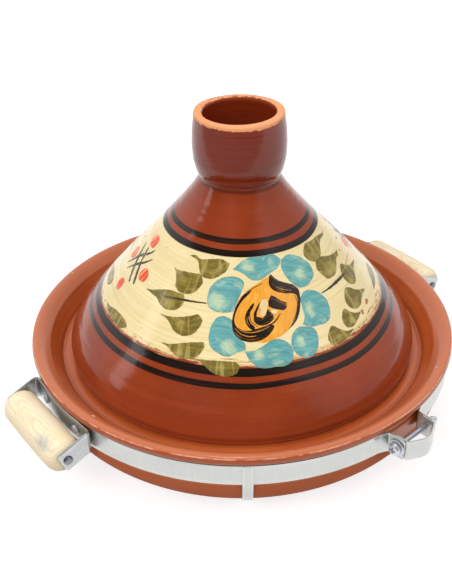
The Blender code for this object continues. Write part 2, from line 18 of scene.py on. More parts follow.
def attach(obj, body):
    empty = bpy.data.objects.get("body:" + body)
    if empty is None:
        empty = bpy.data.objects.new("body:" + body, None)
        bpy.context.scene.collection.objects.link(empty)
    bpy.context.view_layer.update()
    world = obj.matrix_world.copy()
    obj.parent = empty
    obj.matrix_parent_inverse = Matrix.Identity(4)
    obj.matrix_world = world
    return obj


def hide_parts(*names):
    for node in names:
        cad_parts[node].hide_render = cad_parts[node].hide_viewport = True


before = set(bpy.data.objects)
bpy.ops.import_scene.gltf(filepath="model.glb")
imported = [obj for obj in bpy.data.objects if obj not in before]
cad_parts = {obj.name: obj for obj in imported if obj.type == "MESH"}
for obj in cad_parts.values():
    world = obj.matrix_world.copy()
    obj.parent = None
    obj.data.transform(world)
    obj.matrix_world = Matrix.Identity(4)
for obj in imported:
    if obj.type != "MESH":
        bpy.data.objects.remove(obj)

for leftover in ("Cube", "Light", "Camera"):
    if leftover in bpy.data.objects:
        bpy.data.objects.remove(bpy.data.objects[leftover], do_unlink=True)
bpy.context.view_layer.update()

# %% [markdown]
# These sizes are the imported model's, in metres, so that each fine surface lies on its solid. Two
# were changed towards the photo: the lip has a crisper corner, and the clamp's bow is 2 mm wider.
# A pair is a radius and a height. The lid's heights are counted from its lower edge.

# %% Sizes of the clay and the steel
GAP = 0.0003
RIM_R = 0.160
RIM_Z = 0.0655
LIP_CORNER = (RIM_R - 0.0006, RIM_Z + 0.0024)
WALL_R = 0.1562
NECK_R = 0.155
LEDGE_Z = 0.0519
LEDGE_OUT = 0.1345
LEDGE_IN = 0.124
FLOOR_T = 0.009
FOOT_Z = 0.0012
FOOT_R = 0.092
FOOT_HOLLOW = 0.0035
UNDER_TOP = 0.0445
LID_R = 0.131
LID_Z = LEDGE_Z + GAP
LID_WALL = 0.0095
HOLLOW_TOP = 0.116
LID_NECK = (0.0288, 0.138)
KNOB_SWELL = (0.0334, 0.162)
KNOB_TOP = 0.185
KNOB_RIM_R = 0.0315
KNOB_WALL = 0.0062
CUP_DEPTH = 0.040
BAND_R = 0.1571
BAND_T = 0.0012
BAND_H = 0.0162
BAND_Z = 0.0529
BAND_OUT = BAND_R + BAND_T / 2
STRAP_W = 0.0072
STRAP_T = 0.0009
BRACKET_H = 0.0176
BRACKET_T = 0.0015
BRACKET_OUT = BAND_OUT + GAP + BRACKET_T
BACK_HALF = 0.024
RIVET_SIDE = 0.021
ARM_END = 0.0044
GRIP_X = 0.1744
GRIP_Z = 0.0472
GRIP_HALF = 0.037
CLAMP_TURN = math.radians(-84.0)
CREASE_SIDE = 0.0225
TAB_SIDE = 0.0155
TAB_END = 0.0145
BOW_H = 0.0160
BOW_T = 0.0010
SCREW_R = 0.1659
SHANK_R = 0.0020
HEAD_R = 0.0045
HEAD_H = 0.0034
BORE_R = 0.00215
WASHER_R = 0.0062
WASHER_T = 0.0010
NUT_R = 0.0032
NUT_LENGTH = 0.006
CAMERA_SIDE = -126.0

# %% [markdown]
# Everything round on this object starts as a line drawn in a plane. A curve that leaves one point
# and reaches the next in chosen directions is enough for the profile of a pot, and a short average
# along the line rounds its corners as fingers and glaze do.


# %% Lines in a plane
def bend(start, start_turn, end, end_turn, count=24, pulls=(0.36, 0.36)):
    """Cubic curve that leaves start and reaches end in the given directions, in degrees.

    Point(t) = (1-t)^3 a + 3 (1-t)^2 t b + 3 (1-t) t^2 c + t^3 d, with b and c along those directions.
    """
    a, d = np.array(start, float), np.array(end, float)
    reach = np.hypot(*(d - a))
    leave, arrive = np.radians(start_turn), np.radians(end_turn)
    b = a + reach * pulls[0] * np.array([np.cos(leave), np.sin(leave)])
    c = d - reach * pulls[1] * np.array([np.cos(arrive), np.sin(arrive)])
    t = np.linspace(0.0, 1.0, count)[:, None]
    return (1 - t) ** 3 * a + 3 * (1 - t) ** 2 * t * b + 3 * (1 - t) * t ** 2 * c + t ** 3 * d


def lengths_along(line):
    """Distance from the first point to each point, walked along the line."""
    return np.concatenate([[0.0], np.cumsum(np.linalg.norm(np.diff(line, axis=0), axis=1))])


def walk(line, step):
    """The same line with its points an equal step apart."""
    line = np.asarray(line, float)
    far = lengths_along(line)
    places = np.linspace(0.0, far[-1], int(far[-1] / step) + 2)
    return np.column_stack([np.interp(places, far, line[:, k]) for k in range(line.shape[1])])


def soften(line, blur, step=0.00025):
    """Line whose corners are rounded: each point is the bell-shaped average of its neighbours.

    Weight(d) = exp(-d^2 / (2 blur^2)), with d the distance along the line. The ends stay in place.
    """
    even = walk(line, step)
    reach = int(3 * blur / step) + 1
    weights = np.exp(-(np.arange(-reach, reach + 1) * step) ** 2 / (2 * blur ** 2))
    before = 2 * even[0] - even[reach:0:-1]
    after = 2 * even[-1] - even[-2:-reach - 2:-1]
    padded = np.concatenate([before, even, after])
    columns = [np.convolve(padded[:, k], weights / weights.sum(), "valid") for k in range(2)]
    return np.column_stack(columns)


def choose_rows(line, coarse, turn):
    """Rows to keep: one for each coarse length of straight line and each turn of bend, in radians."""
    ways = np.diff(line, axis=0)
    bends = np.abs(np.diff(np.unwrap(np.arctan2(ways[:, 1], ways[:, 0]))))
    need = np.hypot(*ways.T) / coarse
    need[1:] += bends / turn
    far = np.concatenate([[0.0], np.cumsum(need)])
    places = np.linspace(0.0, far[-1], int(far[-1]) + 2)
    return np.column_stack([np.interp(places, far, line[:, k]) for k in range(2)])


def bent(corners, radii, count):
    """Line through the corners, with an arc of the given radius at each inner corner."""
    corners = np.asarray(corners, float)
    points = [corners[:1]]
    for before, corner, after, radius in zip(corners, corners[1:], corners[2:], radii):
        back = (before - corner) / np.linalg.norm(before - corner)
        ahead = (after - corner) / np.linalg.norm(after - corner)
        half = np.arccos(np.clip(back @ ahead, -1, 1)) / 2
        middle = (back + ahead) / np.linalg.norm(back + ahead)
        centre = corner + middle * radius / np.sin(half)
        first = (corner + back * radius / np.tan(half) - centre) / radius
        last = (corner + ahead * radius / np.tan(half) - centre) / radius
        share = np.linspace(0.0, 1.0, count)[:, None]
        arc = first * (1 - share) + last * share
        points.append(centre + radius * arc / np.linalg.norm(arc, axis=1)[:, None])
    points.append(corners[-1:])
    return np.concatenate(points)


def ripple(turn, seed, waves, falls=1.0):
    """Smooth bounded wave round a circle: a sum of cosines, fainter as they get finer, from -1 to 1.

    Sum over k of cos(k t + phase_k) / k^falls, divided by the sum of 1 / k^falls.
    """
    phases = np.random.default_rng(seed).uniform(0, 2 * math.pi, len(waves))
    total = sum(np.cos(k * turn + phase) / k ** falls for k, phase in zip(waves, phases))
    return total / sum(1 / k ** falls for k in waves)


print("a soft corner:", soften([(0, 0), (0.01, 0), (0.01, 0.01)], 0.001).shape[0], "points")

# %% [markdown]
# A surface is a grid of points whose columns run round. Either its rows close on themselves, as
# on a ring, or each end closes in a fan. One function turns a grid into a closed shell, faces
# outwards, and another turns a list of shells into one piece that rides on its body.


# %% Grids into closed pieces
def shell(grid, ring=False, poles=None, **values):
    """Closed shell from a grid of points (rows, columns, 3) whose columns run round.

    ring joins the last row to the first. Otherwise each end is a fan round its pole, the mean of
    the end row unless poles gives it. values are numbers kept at each point, (rows, columns).
    """
    rows, columns = grid.shape[:2]
    index = np.arange(rows * columns).reshape(rows, columns)
    near = index if ring else index[:-1]
    far = np.roll(index, -1, axis=0) if ring else index[1:]
    faces = np.stack([near, np.roll(near, -1, axis=1), np.roll(far, -1, axis=1), far], -1).reshape(-1, 4)
    points = grid.reshape(-1, 3)
    kept = {key: np.broadcast_to(value, (rows, columns)).ravel() for key, value in values.items()}
    fans = np.zeros((0, 3), int)
    if not ring:
        poles = poles if poles is not None else (grid[0].mean(0), grid[-1].mean(0))
        first, last = len(points), len(points) + 1
        points = np.vstack([points, poles[0], poles[1]])
        kept = {key: np.concatenate([value, [value[:columns].mean(), value[-columns:].mean()]])
                for key, value in kept.items()}
        start = np.stack([np.roll(index[0], -1), index[0], np.full(columns, first)], -1)
        finish = np.stack([index[-1], np.roll(index[-1], -1), np.full(columns, last)], -1)
        fans = np.vstack([start, finish])
    corners = np.vstack([faces[:, [0, 1, 2]], faces[:, [0, 2, 3]], fans])
    a, b, c = (points[corners[:, k]] - points.mean(0) for k in range(3))
    if np.einsum("ij,ij->i", a, np.cross(b, c)).sum() < 0:
        faces, fans = faces[:, ::-1], fans[:, ::-1]
    return {"points": points, "faces": faces, "fans": fans, "values": kept}


def piece(name, shells, material, body, stands_for=(), sharp=38.0):
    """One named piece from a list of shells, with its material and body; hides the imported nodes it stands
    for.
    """
    starts = np.cumsum([0] + [len(part["points"]) for part in shells[:-1]])
    points = np.vstack([part["points"] for part in shells])
    faces = np.vstack([part["faces"] + start for part, start in zip(shells, starts)])
    fans = np.vstack([part["fans"] + start for part, start in zip(shells, starts)])
    totals = np.concatenate([np.full(len(faces), 4), np.full(len(fans), 3)])
    mesh = bpy.data.meshes.new(name)
    mesh.vertices.add(len(points))
    mesh.vertices.foreach_set("co", points.astype(np.float32).ravel())
    mesh.loops.add(int(totals.sum()))
    mesh.loops.foreach_set("vertex_index", np.concatenate([faces.ravel(), fans.ravel()]).astype(np.int32))
    mesh.polygons.add(len(totals))
    mesh.polygons.foreach_set("loop_start", np.concatenate([[0], np.cumsum(totals)[:-1]]).astype(np.int32))
    mesh.update(calc_edges=True)
    for key in shells[0]["values"]:
        layer = mesh.attributes.new(key, "FLOAT", "POINT")
        numbers = np.concatenate([part["values"][key] for part in shells])
        layer.data.foreach_set("value", numbers.astype(np.float32))
    mesh.shade_smooth()
    mesh.set_sharp_from_angle(angle=math.radians(sharp))
    mesh.materials.append(material)
    made = bpy.data.objects.new(name, mesh)
    bpy.context.scene.collection.objects.link(made)
    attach(made, body)
    if stands_for:
        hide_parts(*stands_for)
    print(name, "on", body, "triangles:", 2 * len(faces) + len(fans), "closed:", mesh.validate() is False)
    return made


def placed(grid, centre, axis_x, axis_y, axis_z):
    """Local points carried to a place: centre + x axis_x + y axis_y + z axis_z."""
    axes = np.array([axis_x, axis_y, axis_z], float)
    return np.asarray(centre, float) + grid @ axes


def lathe(outline, steps):
    """Grid of an outline turned about Z: point(i, j) = (r_i cos t_j, r_i sin t_j, z_i)."""
    turn = np.linspace(0, 2 * math.pi, steps, endpoint=False)
    radius, height = outline[:, :1], outline[:, 1:]
    return np.stack([radius * np.cos(turn), radius * np.sin(turn), height + 0 * turn], -1)


def convex(outline, blur):
    """How far each point of a closed outline stands out of its neighbourhood, as a share of 1 mm."""
    mean = soften(outline, blur)
    far = lengths_along(outline)
    even = np.linspace(0, far[-1], len(mean))
    smooth = np.column_stack([np.interp(far, even, mean[:, k]) for k in range(2)])
    ways = np.gradient(outline, far, axis=0)
    outwards = np.column_stack([-ways[:, 1], ways[:, 0]])
    return ((outline - smooth) * outwards).sum(1) * 1000


# %% [markdown]
# A material is a small network of nodes. A Wire stands for one output in it, so that a finish
# reads as arithmetic: each +, - and * adds a Math node, and each helper adds a node or a few.


# %% Helpers for nodes
class Wire:
    """One output of a node, with +, - and * that each add a Math node."""

    def __init__(self, tree, socket):
        self.tree = tree
        self.socket = socket

    def __add__(self, other):
        return worked("ADD", self, other)

    def __sub__(self, other):
        return worked("SUBTRACT", self, other)

    def __mul__(self, other):
        return worked("MULTIPLY", self, other)


def plug(node, places):
    """Set a node's inputs by name or number: wires are linked, and plain values are kept."""
    for key, value in places.items():
        if isinstance(value, Wire):
            value.tree.links.new(value.socket, node.inputs[key])
        else:
            node.inputs[key].default_value = value
    return node


def add(tree, kind, places, **settings):
    """Add one node with its settings and inputs."""
    node = tree.nodes.new(kind)
    for key, value in settings.items():
        setattr(node, key, value)
    return plug(node, places)


def wire(tree, kind, output, places, **settings):
    """Add one node and hand back one of its outputs."""
    return Wire(tree, add(tree, kind, places, **settings).outputs[output])


def wires(tree, node):
    """All outputs of a node, by name."""
    return {socket.name: Wire(tree, socket) for socket in node.outputs}


def worked(operation, a, b, clamp=False):
    """One Math node on a wire and a second wire or number."""
    return wire(a.tree, "ShaderNodeMath", 0, {0: a, 1: b}, operation=operation, use_clamp=clamp)


def ease(value, low, high, to_low=0.0, to_high=1.0):
    """Smooth step of a wire from low to high."""
    places = {"Value": value, "From Min": low, "From Max": high, "To Min": to_low, "To Max": to_high}
    return wire(value.tree, "ShaderNodeMapRange", "Result", places, interpolation_type="SMOOTHSTEP")


def between(value, low, high, soft):
    """Mask that is 1 between low and high, with soft edges."""
    rise = ease(value, low - soft / 2, low + soft / 2)
    fall = ease(value, high - soft / 2, high + soft / 2)
    return worked("SUBTRACT", rise, fall, clamp=True)


def mixed(mask, below, above, amount=1.0):
    """Colour below where the mask is 0 and above, by its amount, where it is 1."""
    mask = mask if amount == 1.0 else mask * amount
    return wire(mask.tree, "ShaderNodeMix", 2, {0: mask, 6: below, 7: above}, data_type="RGBA")


def along(where, way):
    """How far a point or direction reaches along a fixed direction."""
    places = {0: where, 1: [float(x) for x in way]}
    return wire(where.tree, "ShaderNodeVectorMath", "Value", places, operation="DOT_PRODUCT")


def length_of(where):
    """Distance of a point from the origin."""
    return wire(where.tree, "ShaderNodeVectorMath", "Value", {0: where}, operation="LENGTH")


def seen_from(where, place):
    """Coordinates counted from another place."""
    places = {0: where, 1: place}
    return wire(where.tree, "ShaderNodeVectorMath", "Vector", places, operation="SUBTRACT")


def height_of(where):
    """The upright coordinate of a point."""
    return wire(where.tree, "ShaderNodeSeparateXYZ", "Z", {0: where})


def stretched(where, scale):
    """Coordinates scaled along x, y and z."""
    return wire(where.tree, "ShaderNodeMapping", 0, {"Vector": where, "Scale": scale})


def noise(where, scale, detail, rough=0.5, twist=0.0):
    """Value of a noise texture."""
    places = {"Vector": where, "Scale": scale, "Detail": detail, "Roughness": rough, "Distortion": twist}
    return wire(where.tree, "ShaderNodeTexNoise", 0, places)


def attribute(tree, name):
    """A number kept at each point of the piece."""
    return wire(tree, "ShaderNodeAttribute", "Fac", {}, attribute_name=name)


def ink(red, green, blue):
    """Colour of a paint as seen, from 0 to 255, turned into the linear light that nodes use."""
    seen = np.array([red, green, blue]) / 255
    light = np.where(seen <= 0.04045, seen / 12.92, ((seen + 0.055) / 1.055) ** 2.4)
    return (*[float(x) for x in light], 1.0)


def new_finish(name, rough, metal=0.0, specular=0.5):
    """New material; returns it with its tree and its Object coordinates."""
    material = bpy.data.materials.new(name)
    material.use_nodes = True
    tree = material.node_tree
    places = {"Roughness": rough, "Metallic": metal, "Specular IOR Level": specular}
    plug(tree.nodes["Principled BSDF"], places)
    return material, tree, wire(tree, "ShaderNodeTexCoord", "Object", {})


def finished(material, colour, relief, depth, strength, roughness=None):
    """Link a finish to its shader: colour, a relief in shares of a depth in metres, and roughness."""
    tree = material.node_tree
    places = {"Height": relief, "Distance": depth, "Strength": strength}
    linked = {"Base Color": colour, "Normal": wire(tree, "ShaderNodeBump", "Normal", places)}
    if roughness is not None:
        linked["Roughness"] = roughness
    plug(tree.nodes["Principled BSDF"], linked)
    return material


def group(name, takes, gives):
    """New node group; returns its tree, its inputs (name: kind) as wires and its output node."""
    tree = bpy.data.node_groups.new(name, "ShaderNodeTree")
    for label, kind in takes.items():
        tree.interface.new_socket(label, in_out="INPUT", socket_type=kind)
    for label in gives:
        tree.interface.new_socket(label, in_out="OUTPUT", socket_type=NUMBER)
    return tree, wires(tree, tree.nodes.new("NodeGroupInput")), tree.nodes.new("NodeGroupOutput")


def use(tree, effect, places):
    """Place a node group in a material and hand back its outputs."""
    node = tree.nodes.new("ShaderNodeGroup")
    node.node_tree = effect
    return wires(tree, plug(node, places))


NUMBER, POINT = "NodeSocketFloat", "NodeSocketVector"
print("a clay red in linear light:", [round(x, 3) for x in ink(150, 65, 35)[:3]])

# %% [markdown]
# Four effects are shared by several finishes, so each is a node group, built once.
# Glaze wear gives the mottling, the specks and the fine orange-peel of a clear glaze over clay.
# Turning lines are the rings that the potter's tool and brush leave as the pot spins.
# Brush marks are what one stroke of a loaded brush leaves. Steel sheet has a faint spangle.


# %% Shared effects
def make_glaze_wear():
    """Mottling in large soft clouds, sparse dark specks, and a fine uneven height."""
    tree, takes, gives = group("glaze_wear", {"Where": POINT}, ("Cloud", "Specks", "Height"))
    where = takes["Where"]
    cloud = noise(where, 14.0, 5.0, 0.6)
    cells = wire(tree, "ShaderNodeTexVoronoi", "Distance", {"Vector": where, "Scale": 900.0})
    rare = worked("GREATER_THAN", noise(where, 260.0, 1.0), 0.70)
    peel = noise(where, 420.0, 2.0)
    plug(gives, {"Cloud": cloud, "Specks": ease(cells, 0.30, 0.16) * rare, "Height": peel * 0.35 + cloud})
    return tree


def make_turning_lines():
    """Rings round the Z axis: noise on coordinates squeezed flat and stretched tall."""
    tree, takes, gives = group("turning_lines", {"Where": POINT}, ("Broad", "Fine"))
    broad = noise(stretched(takes["Where"], (3.0, 3.0, 240.0)), 1.0, 2.0)
    fine = noise(stretched(takes["Where"], (5.0, 5.0, 900.0)), 1.0, 3.0, 0.6)
    plug(gives, {"Broad": broad, "Fine": fine})
    return tree


def make_brush_marks():
    """Marks of one stroke from its own across, along, seed and edge numbers.

    Streaks run along it, bands lie across it where the brush was pressed, clouds are pools of
    thicker and thinner paint, and the dry mask is for edges where the hairs leave the clay bare.
    """
    takes = dict.fromkeys(("Across", "Along", "Seed", "Edge"), NUMBER)
    tree, takes, gives = group("brush_marks", takes, ("Streaks", "Bands", "Clouds", "Dry"))
    where = wire(tree, "ShaderNodeCombineXYZ", 0, {0: takes["Across"], 1: takes["Along"], 2: takes["Seed"]})
    streaks = noise(stretched(where, (0.75, 0.06, 9.0)), 1.0, 4.0, 0.62)
    bands = noise(stretched(where, (0.03, 0.24, 5.0)), 1.0, 3.0, 0.55, 0.3)
    clouds = noise(stretched(where, (0.15, 0.09, 7.0)), 1.0, 3.0, 0.5, 0.4)
    dry = ease(takes["Edge"], 0.86, 1.0) * ease(streaks, 0.48, 0.66)
    plug(gives, {"Streaks": streaks, "Bands": bands, "Clouds": clouds, "Dry": dry})
    return tree


def make_steel_sheet():
    """Spangle of zinc, rolling lines and the handling marks of bent sheet."""
    tree, takes, gives = group("steel_sheet", {"Where": POINT, "Worn": NUMBER}, ("Tone", "Rough", "Height"))
    where = takes["Where"]
    spangle = wire(tree, "ShaderNodeTexVoronoi", "Color", {"Vector": where, "Scale": 210.0})
    flake = wire(tree, "ShaderNodeSeparateColor", 0, {0: spangle})
    cloud = noise(where, 38.0, 5.0, 0.62)
    rolled = noise(stretched(where, (40.0, 40.0, 2600.0)), 1.0, 3.0, 0.6)
    crossed = noise(stretched(where, (1500.0, 1500.0, 50.0)), 1.0, 2.0, 0.6)
    marks = noise(where, 900.0, 2.0)
    tone = flake * 0.05 + cloud * 0.45 + rolled * 0.32 + crossed * 0.22
    dull = cloud * 0.30 + flake * 0.03 - takes["Worn"] * 0.12
    plug(gives, {"Tone": tone, "Rough": dull, "Height": cloud + rolled * 0.10 + marks * 0.06})
    return tree


GLAZE_WEAR = make_glaze_wear()
TURNING_LINES = make_turning_lines()
BRUSH_MARKS = make_brush_marks()
STEEL_SHEET = make_steel_sheet()
print("shared effects:", [effect.name for effect in bpy.data.node_groups])

# %% [markdown]
# The dish is thrown red clay under a clear glaze. Its hollows, such as the gutter, are painted
# darker and redder as shade, and its convex places paler as a painted highlight. The lip's top is
# painted lighter as if lit from above, its outer side darker as shade, and a broken pale line along
# its corner is a painted highlight. How far the outline stands proud of its neighbourhood, kept at
# each point, tells the finish where the hollows and convex places are.


# %% Finish of the glazed clay
# slope of the line through the lip's corner that parts its top, painted paler as if lit, from its side,
# painted darker as shade
LIP_SPLIT = 0.9


def make_dish_glaze():
    """Clear glaze over red clay, with painted highlights and painted shade, chipped at a few places."""
    material, tree, where = new_finish("dish_glaze", 0.20, specular=0.42)
    wear = use(tree, GLAZE_WEAR, {"Where": where})
    lines = use(tree, TURNING_LINES, {"Where": where})
    base = mixed(ease(wear["Cloud"], 0.35, 0.68), ink(182, 86, 41), ink(199, 101, 51))
    base = mixed(ease(lines["Fine"], 0.35, 0.70), base, ink(158, 68, 30), 0.35)
    # painted highlight and painted shade: paler where the outline stands proud, darker and redder in hollows
    edge = lines["Broad"] * 0.08 + attribute(tree, "proud")
    base = mixed(ease(edge, 0.08, 0.40), base, ink(196, 108, 66), 0.45)
    base = mixed(ease(edge, 0.0, -0.18), base, ink(132, 54, 23), 0.40)

    height = height_of(where)
    radius = length_of(stretched(where, (1.0, 1.0, 0.0)))
    above = height - (radius - LIP_CORNER[0]) * LIP_SPLIT - LIP_CORNER[1]
    upper = ease(above, -0.0003, 0.0005)
    outer = ease(radius, RIM_R - 0.0060, RIM_R - 0.0040) * ease(height, 0.0560, 0.0600)
    # painted shade: the lip's outer side, below the line through its corner, is darker
    below = worked("SUBTRACT", outer, upper * outer)
    base = mixed(below, base, ink(160, 72, 36), 0.8)
    # painted light: the lip's top is paler, as if lit from above
    lip = upper * ease(radius, RIM_R - 0.0142, RIM_R - 0.0130)
    base = mixed(lip, base, ink(196, 112, 74), 0.8)
    # painted highlight: a broken pale line along the lip's corner
    broken = ease(noise(where, 60.0, 4.0, 0.7), 0.42, 0.60)
    ridge_highlight = between(above, -0.0005, 0.0006, 0.0004) * outer * broken
    base = mixed(ridge_highlight, base, ink(240, 190, 162), 0.7)
    bare = ease(height, 0.0450, 0.0410)
    base = mixed(bare, base, ink(172, 92, 56), 0.6)
    base = mixed(wear["Specks"], base, ink(70, 32, 20))
    chipped = ease(noise(where, 1500.0, 3.0) * 0.5 + attribute(tree, "chipped"), 0.72, 0.86)
    base = mixed(chipped, base, ink(238, 196, 168))

    matt = worked("MAXIMUM", chipped * 0.8, bare * 0.85)
    rough = worked("MAXIMUM", wear["Cloud"] * 0.16 + 0.08, matt)
    return finished(material, base, lines["Broad"] * 0.8 + wear["Height"], 0.00030, 0.5, rough)


DISH_GLAZE = make_dish_glaze()
print("finish:", DISH_GLAZE.name, "nodes:", len(DISH_GLAZE.node_tree.nodes))

# %% [markdown]
# The dish itself is one outline turned about the upright axis. It runs from the middle of the
# floor up the bowl, over the seat for the lid and its gutter, round the thick lip, down behind
# the band and under to the foot.

# %% Outline of the dish
DISH_STEPS = 300
LIP_CHIPS = ((-62.0, 0.1534, 1.9), (-67.5, 0.1478, 1.4), (-167.9, 0.1527, 1.5), (-147.3, 0.1506, 1.3),
             (35.0, 0.1555, 1.4), (118.0, 0.1560, 1.7))


def dish_outline():
    """Outline of the dish, from the middle of its floor round to the middle of its underside."""
    hollow = FOOT_Z + FOOT_HOLLOW
    floor = hollow + FLOOR_T
    inner_edge = (RIM_R - 0.0135, RIM_Z - 0.0029)
    crease = (LEDGE_OUT + 0.0035, LEDGE_Z - 0.001)
    cove_foot = (crease[0] + 0.0025, crease[1] + 0.003)
    lip_top = (RIM_R - 0.0042, RIM_Z + 0.0037)
    bead = (RIM_R - 0.0014, RIM_Z - 0.0029)
    neck_low = RIM_Z - 0.0095
    turn = np.linspace(0, math.pi / 2, 60)
    under = np.column_stack([FOOT_R + (WALL_R - FOOT_R) * np.cos(turn),
                             UNDER_TOP - (UNDER_TOP - FOOT_Z) * np.sin(turn)])
    return np.concatenate([
        [(0.0, floor)],
        bend((0.080, floor), 0, (LEDGE_IN - 0.001, LEDGE_Z - 0.006), 90, 60, (0.56, 0.42)),
        [(LEDGE_IN, LEDGE_Z - 0.0015), (LEDGE_IN + 0.0015, LEDGE_Z), (LEDGE_OUT, LEDGE_Z), crease],
        bend(cove_foot, 50, inner_edge, 58),
        bend(inner_edge, 41, lip_top, 14)[1:],
        bend(lip_top, 4, LIP_CORNER, -60)[1:],
        bend(LIP_CORNER, -68, (RIM_R, RIM_Z - 0.0004), -90)[1:],
        bend((RIM_R, RIM_Z - 0.0006), -90, bead, -160)[1:],
        [(NECK_R, bead[1]), (NECK_R, neck_low), (WALL_R, neck_low - 0.001)],
        under,
        [(FOOT_R - 0.012, FOOT_Z), (FOOT_R - 0.014, hollow), (0.0, hollow)],
    ])


def make_dish():
    """The turned dish, with a hand-thrown unevenness that only ever goes inwards."""
    outline = choose_rows(soften(dish_outline(), 0.0005), 0.0028, 0.085)
    proud = convex(outline, 0.0022)
    grid = lathe(outline[1:-1], DISH_STEPS)
    turn = np.arctan2(grid[..., 1], grid[..., 0])
    radius = np.hypot(grid[..., 0], grid[..., 1])
    height = grid[..., 2]
    lip = np.clip((height - 0.0600) / 0.006, 0, 1) * np.clip((radius - 0.138) / 0.01, 0, 1)
    uneven = lip * 0.00022 * (ripple(turn, 3, (2, 3, 5, 8, 13), 0.5) - 1)
    chipped = np.zeros_like(radius)
    for azimuth, reach, size in LIP_CHIPS:
        aside = (turn - np.radians(azimuth) + math.pi) % (2 * math.pi) - math.pi
        away = np.hypot(aside * reach, radius - reach) * 1000 / size
        chipped = np.maximum(chipped, np.clip(1.25 - away, 0, 1) * (height > 0.058))
    sunk = 0.0004 * chipped
    grid[..., 0] += np.cos(turn) * (uneven - sunk)
    grid[..., 1] += np.sin(turn) * (uneven - sunk)
    grid[..., 2] += uneven * 0.8 - sunk
    poles = ((0, 0, outline[0, 1]), (0, 0, outline[-1, 1]))
    body = shell(grid, poles=poles, proud=proud[1:-1, None], chipped=chipped)
    piece("dish_clay", [body], DISH_GLAZE, "dish_and_band", ["dish"], 60.0)


make_dish()

# %% [markdown]
# The lid is turned as well. Its outside is kept as a function of azimuth and height, because the
# painted strokes lie on it later: they ask the same function where the surface is.

# %% Outline and outside of the lid
LID_STEPS = 256


def lid_flank():
    """Outside of the lid from its shoulder up to its neck, finely stepped."""
    middle, slope = (0.0935, 0.060), 130.1
    lower = bend((LID_R, 0.0075), 90, middle, slope, 200, (0.20, 0.32))
    upper = bend(middle, slope, LID_NECK, 112, 260, (0.36, 0.16))
    return np.concatenate([lower, upper[1:]])


FLANK = lid_flank()
FLANK_SLANT = lengths_along(FLANK)
FLANK_WAY = np.gradient(FLANK, FLANK_SLANT, axis=0)


def thrown(turn, height):
    """Small inward unevenness of the lid in metres: broad rings up its side, slowly wandering."""
    rings = np.cos(height * 1000 * 0.62 + 1.1 * ripple(turn, 5, (1, 2, 3)))
    rings += 0.6 * np.cos(height * 1000 * 1.31 + 1.7 * ripple(turn, 6, (1, 2, 4)))
    out = ripple(turn, 8, (2, 3, 5), 0.6)
    return 0.000045 * (rings - 1.6) + 0.00035 * (out - 1) * np.clip((height - 0.010) / 0.03, 0, 1)


def on_lid(azimuth, slant, lift):
    """Point on the lid: azimuth in degrees from the camera's side, slant and lift in mm.

    Point = (r + n_r lift) (cos t, sin t) and z + n_z lift, where r, z and the outward normal
    (n_r, n_z) are read off the flank at that slant length.
    """
    far = np.asarray(slant) / 1000
    turn = np.radians(CAMERA_SIDE + np.asarray(azimuth))
    radius, height = (np.interp(far, FLANK_SLANT, FLANK[:, k]) for k in range(2))
    way_r, way_z = (np.interp(far, FLANK_SLANT, FLANK_WAY[:, k]) for k in range(2))
    out = thrown(turn, height) + np.asarray(lift) / 1000
    radius = radius + way_z * out
    return np.stack([radius * np.cos(turn), radius * np.sin(turn), LID_Z + height - way_r * out], -1)


def slant_at(height):
    """Slant length in mm at a height in mm above the lid's lower edge."""
    return np.interp(np.asarray(height, float) / 1000, FLANK[:, 1], FLANK_SLANT) * 1000


def lid_outline():
    """Outline of the lid, from the middle of the knob's cup, over its rim, down and up inside."""
    rounding, cup_floor = 0.0017, KNOB_TOP - CUP_DEPTH
    rim_base, cup_r = KNOB_TOP - rounding, KNOB_RIM_R - KNOB_WALL
    rim = bent([(cup_r, rim_base), (cup_r, KNOB_TOP), (KNOB_RIM_R, KNOB_TOP), (KNOB_RIM_R, rim_base)],
               [rounding * 0.99, rounding * 0.99], 9)
    inside = FLANK + np.column_stack([-FLANK_WAY[:, 1], FLANK_WAY[:, 0]]) * LID_WALL
    hollow = inside[inside[:, 1] < HOLLOW_TOP - LID_WALL][12:]
    return np.concatenate([
        [(0.0, cup_floor)],
        bend((0.0115, cup_floor), 0, (cup_r, rim_base), 90, 60, (0.26, 0.34)),
        rim[1:-1],
        bend((KNOB_RIM_R, rim_base), -82, KNOB_SWELL, -90)[1:],
        bend(KNOB_SWELL, -90, LID_NECK, -116, 40)[1:-1],
        FLANK[::-1],
        [(LID_R - 0.001, 0.0021), (LID_R - 0.003, 0.0), (LID_R - LID_WALL, 0.0)],
        hollow,
        [(0.016, HOLLOW_TOP - 0.004), (0.0, HOLLOW_TOP)],
    ])


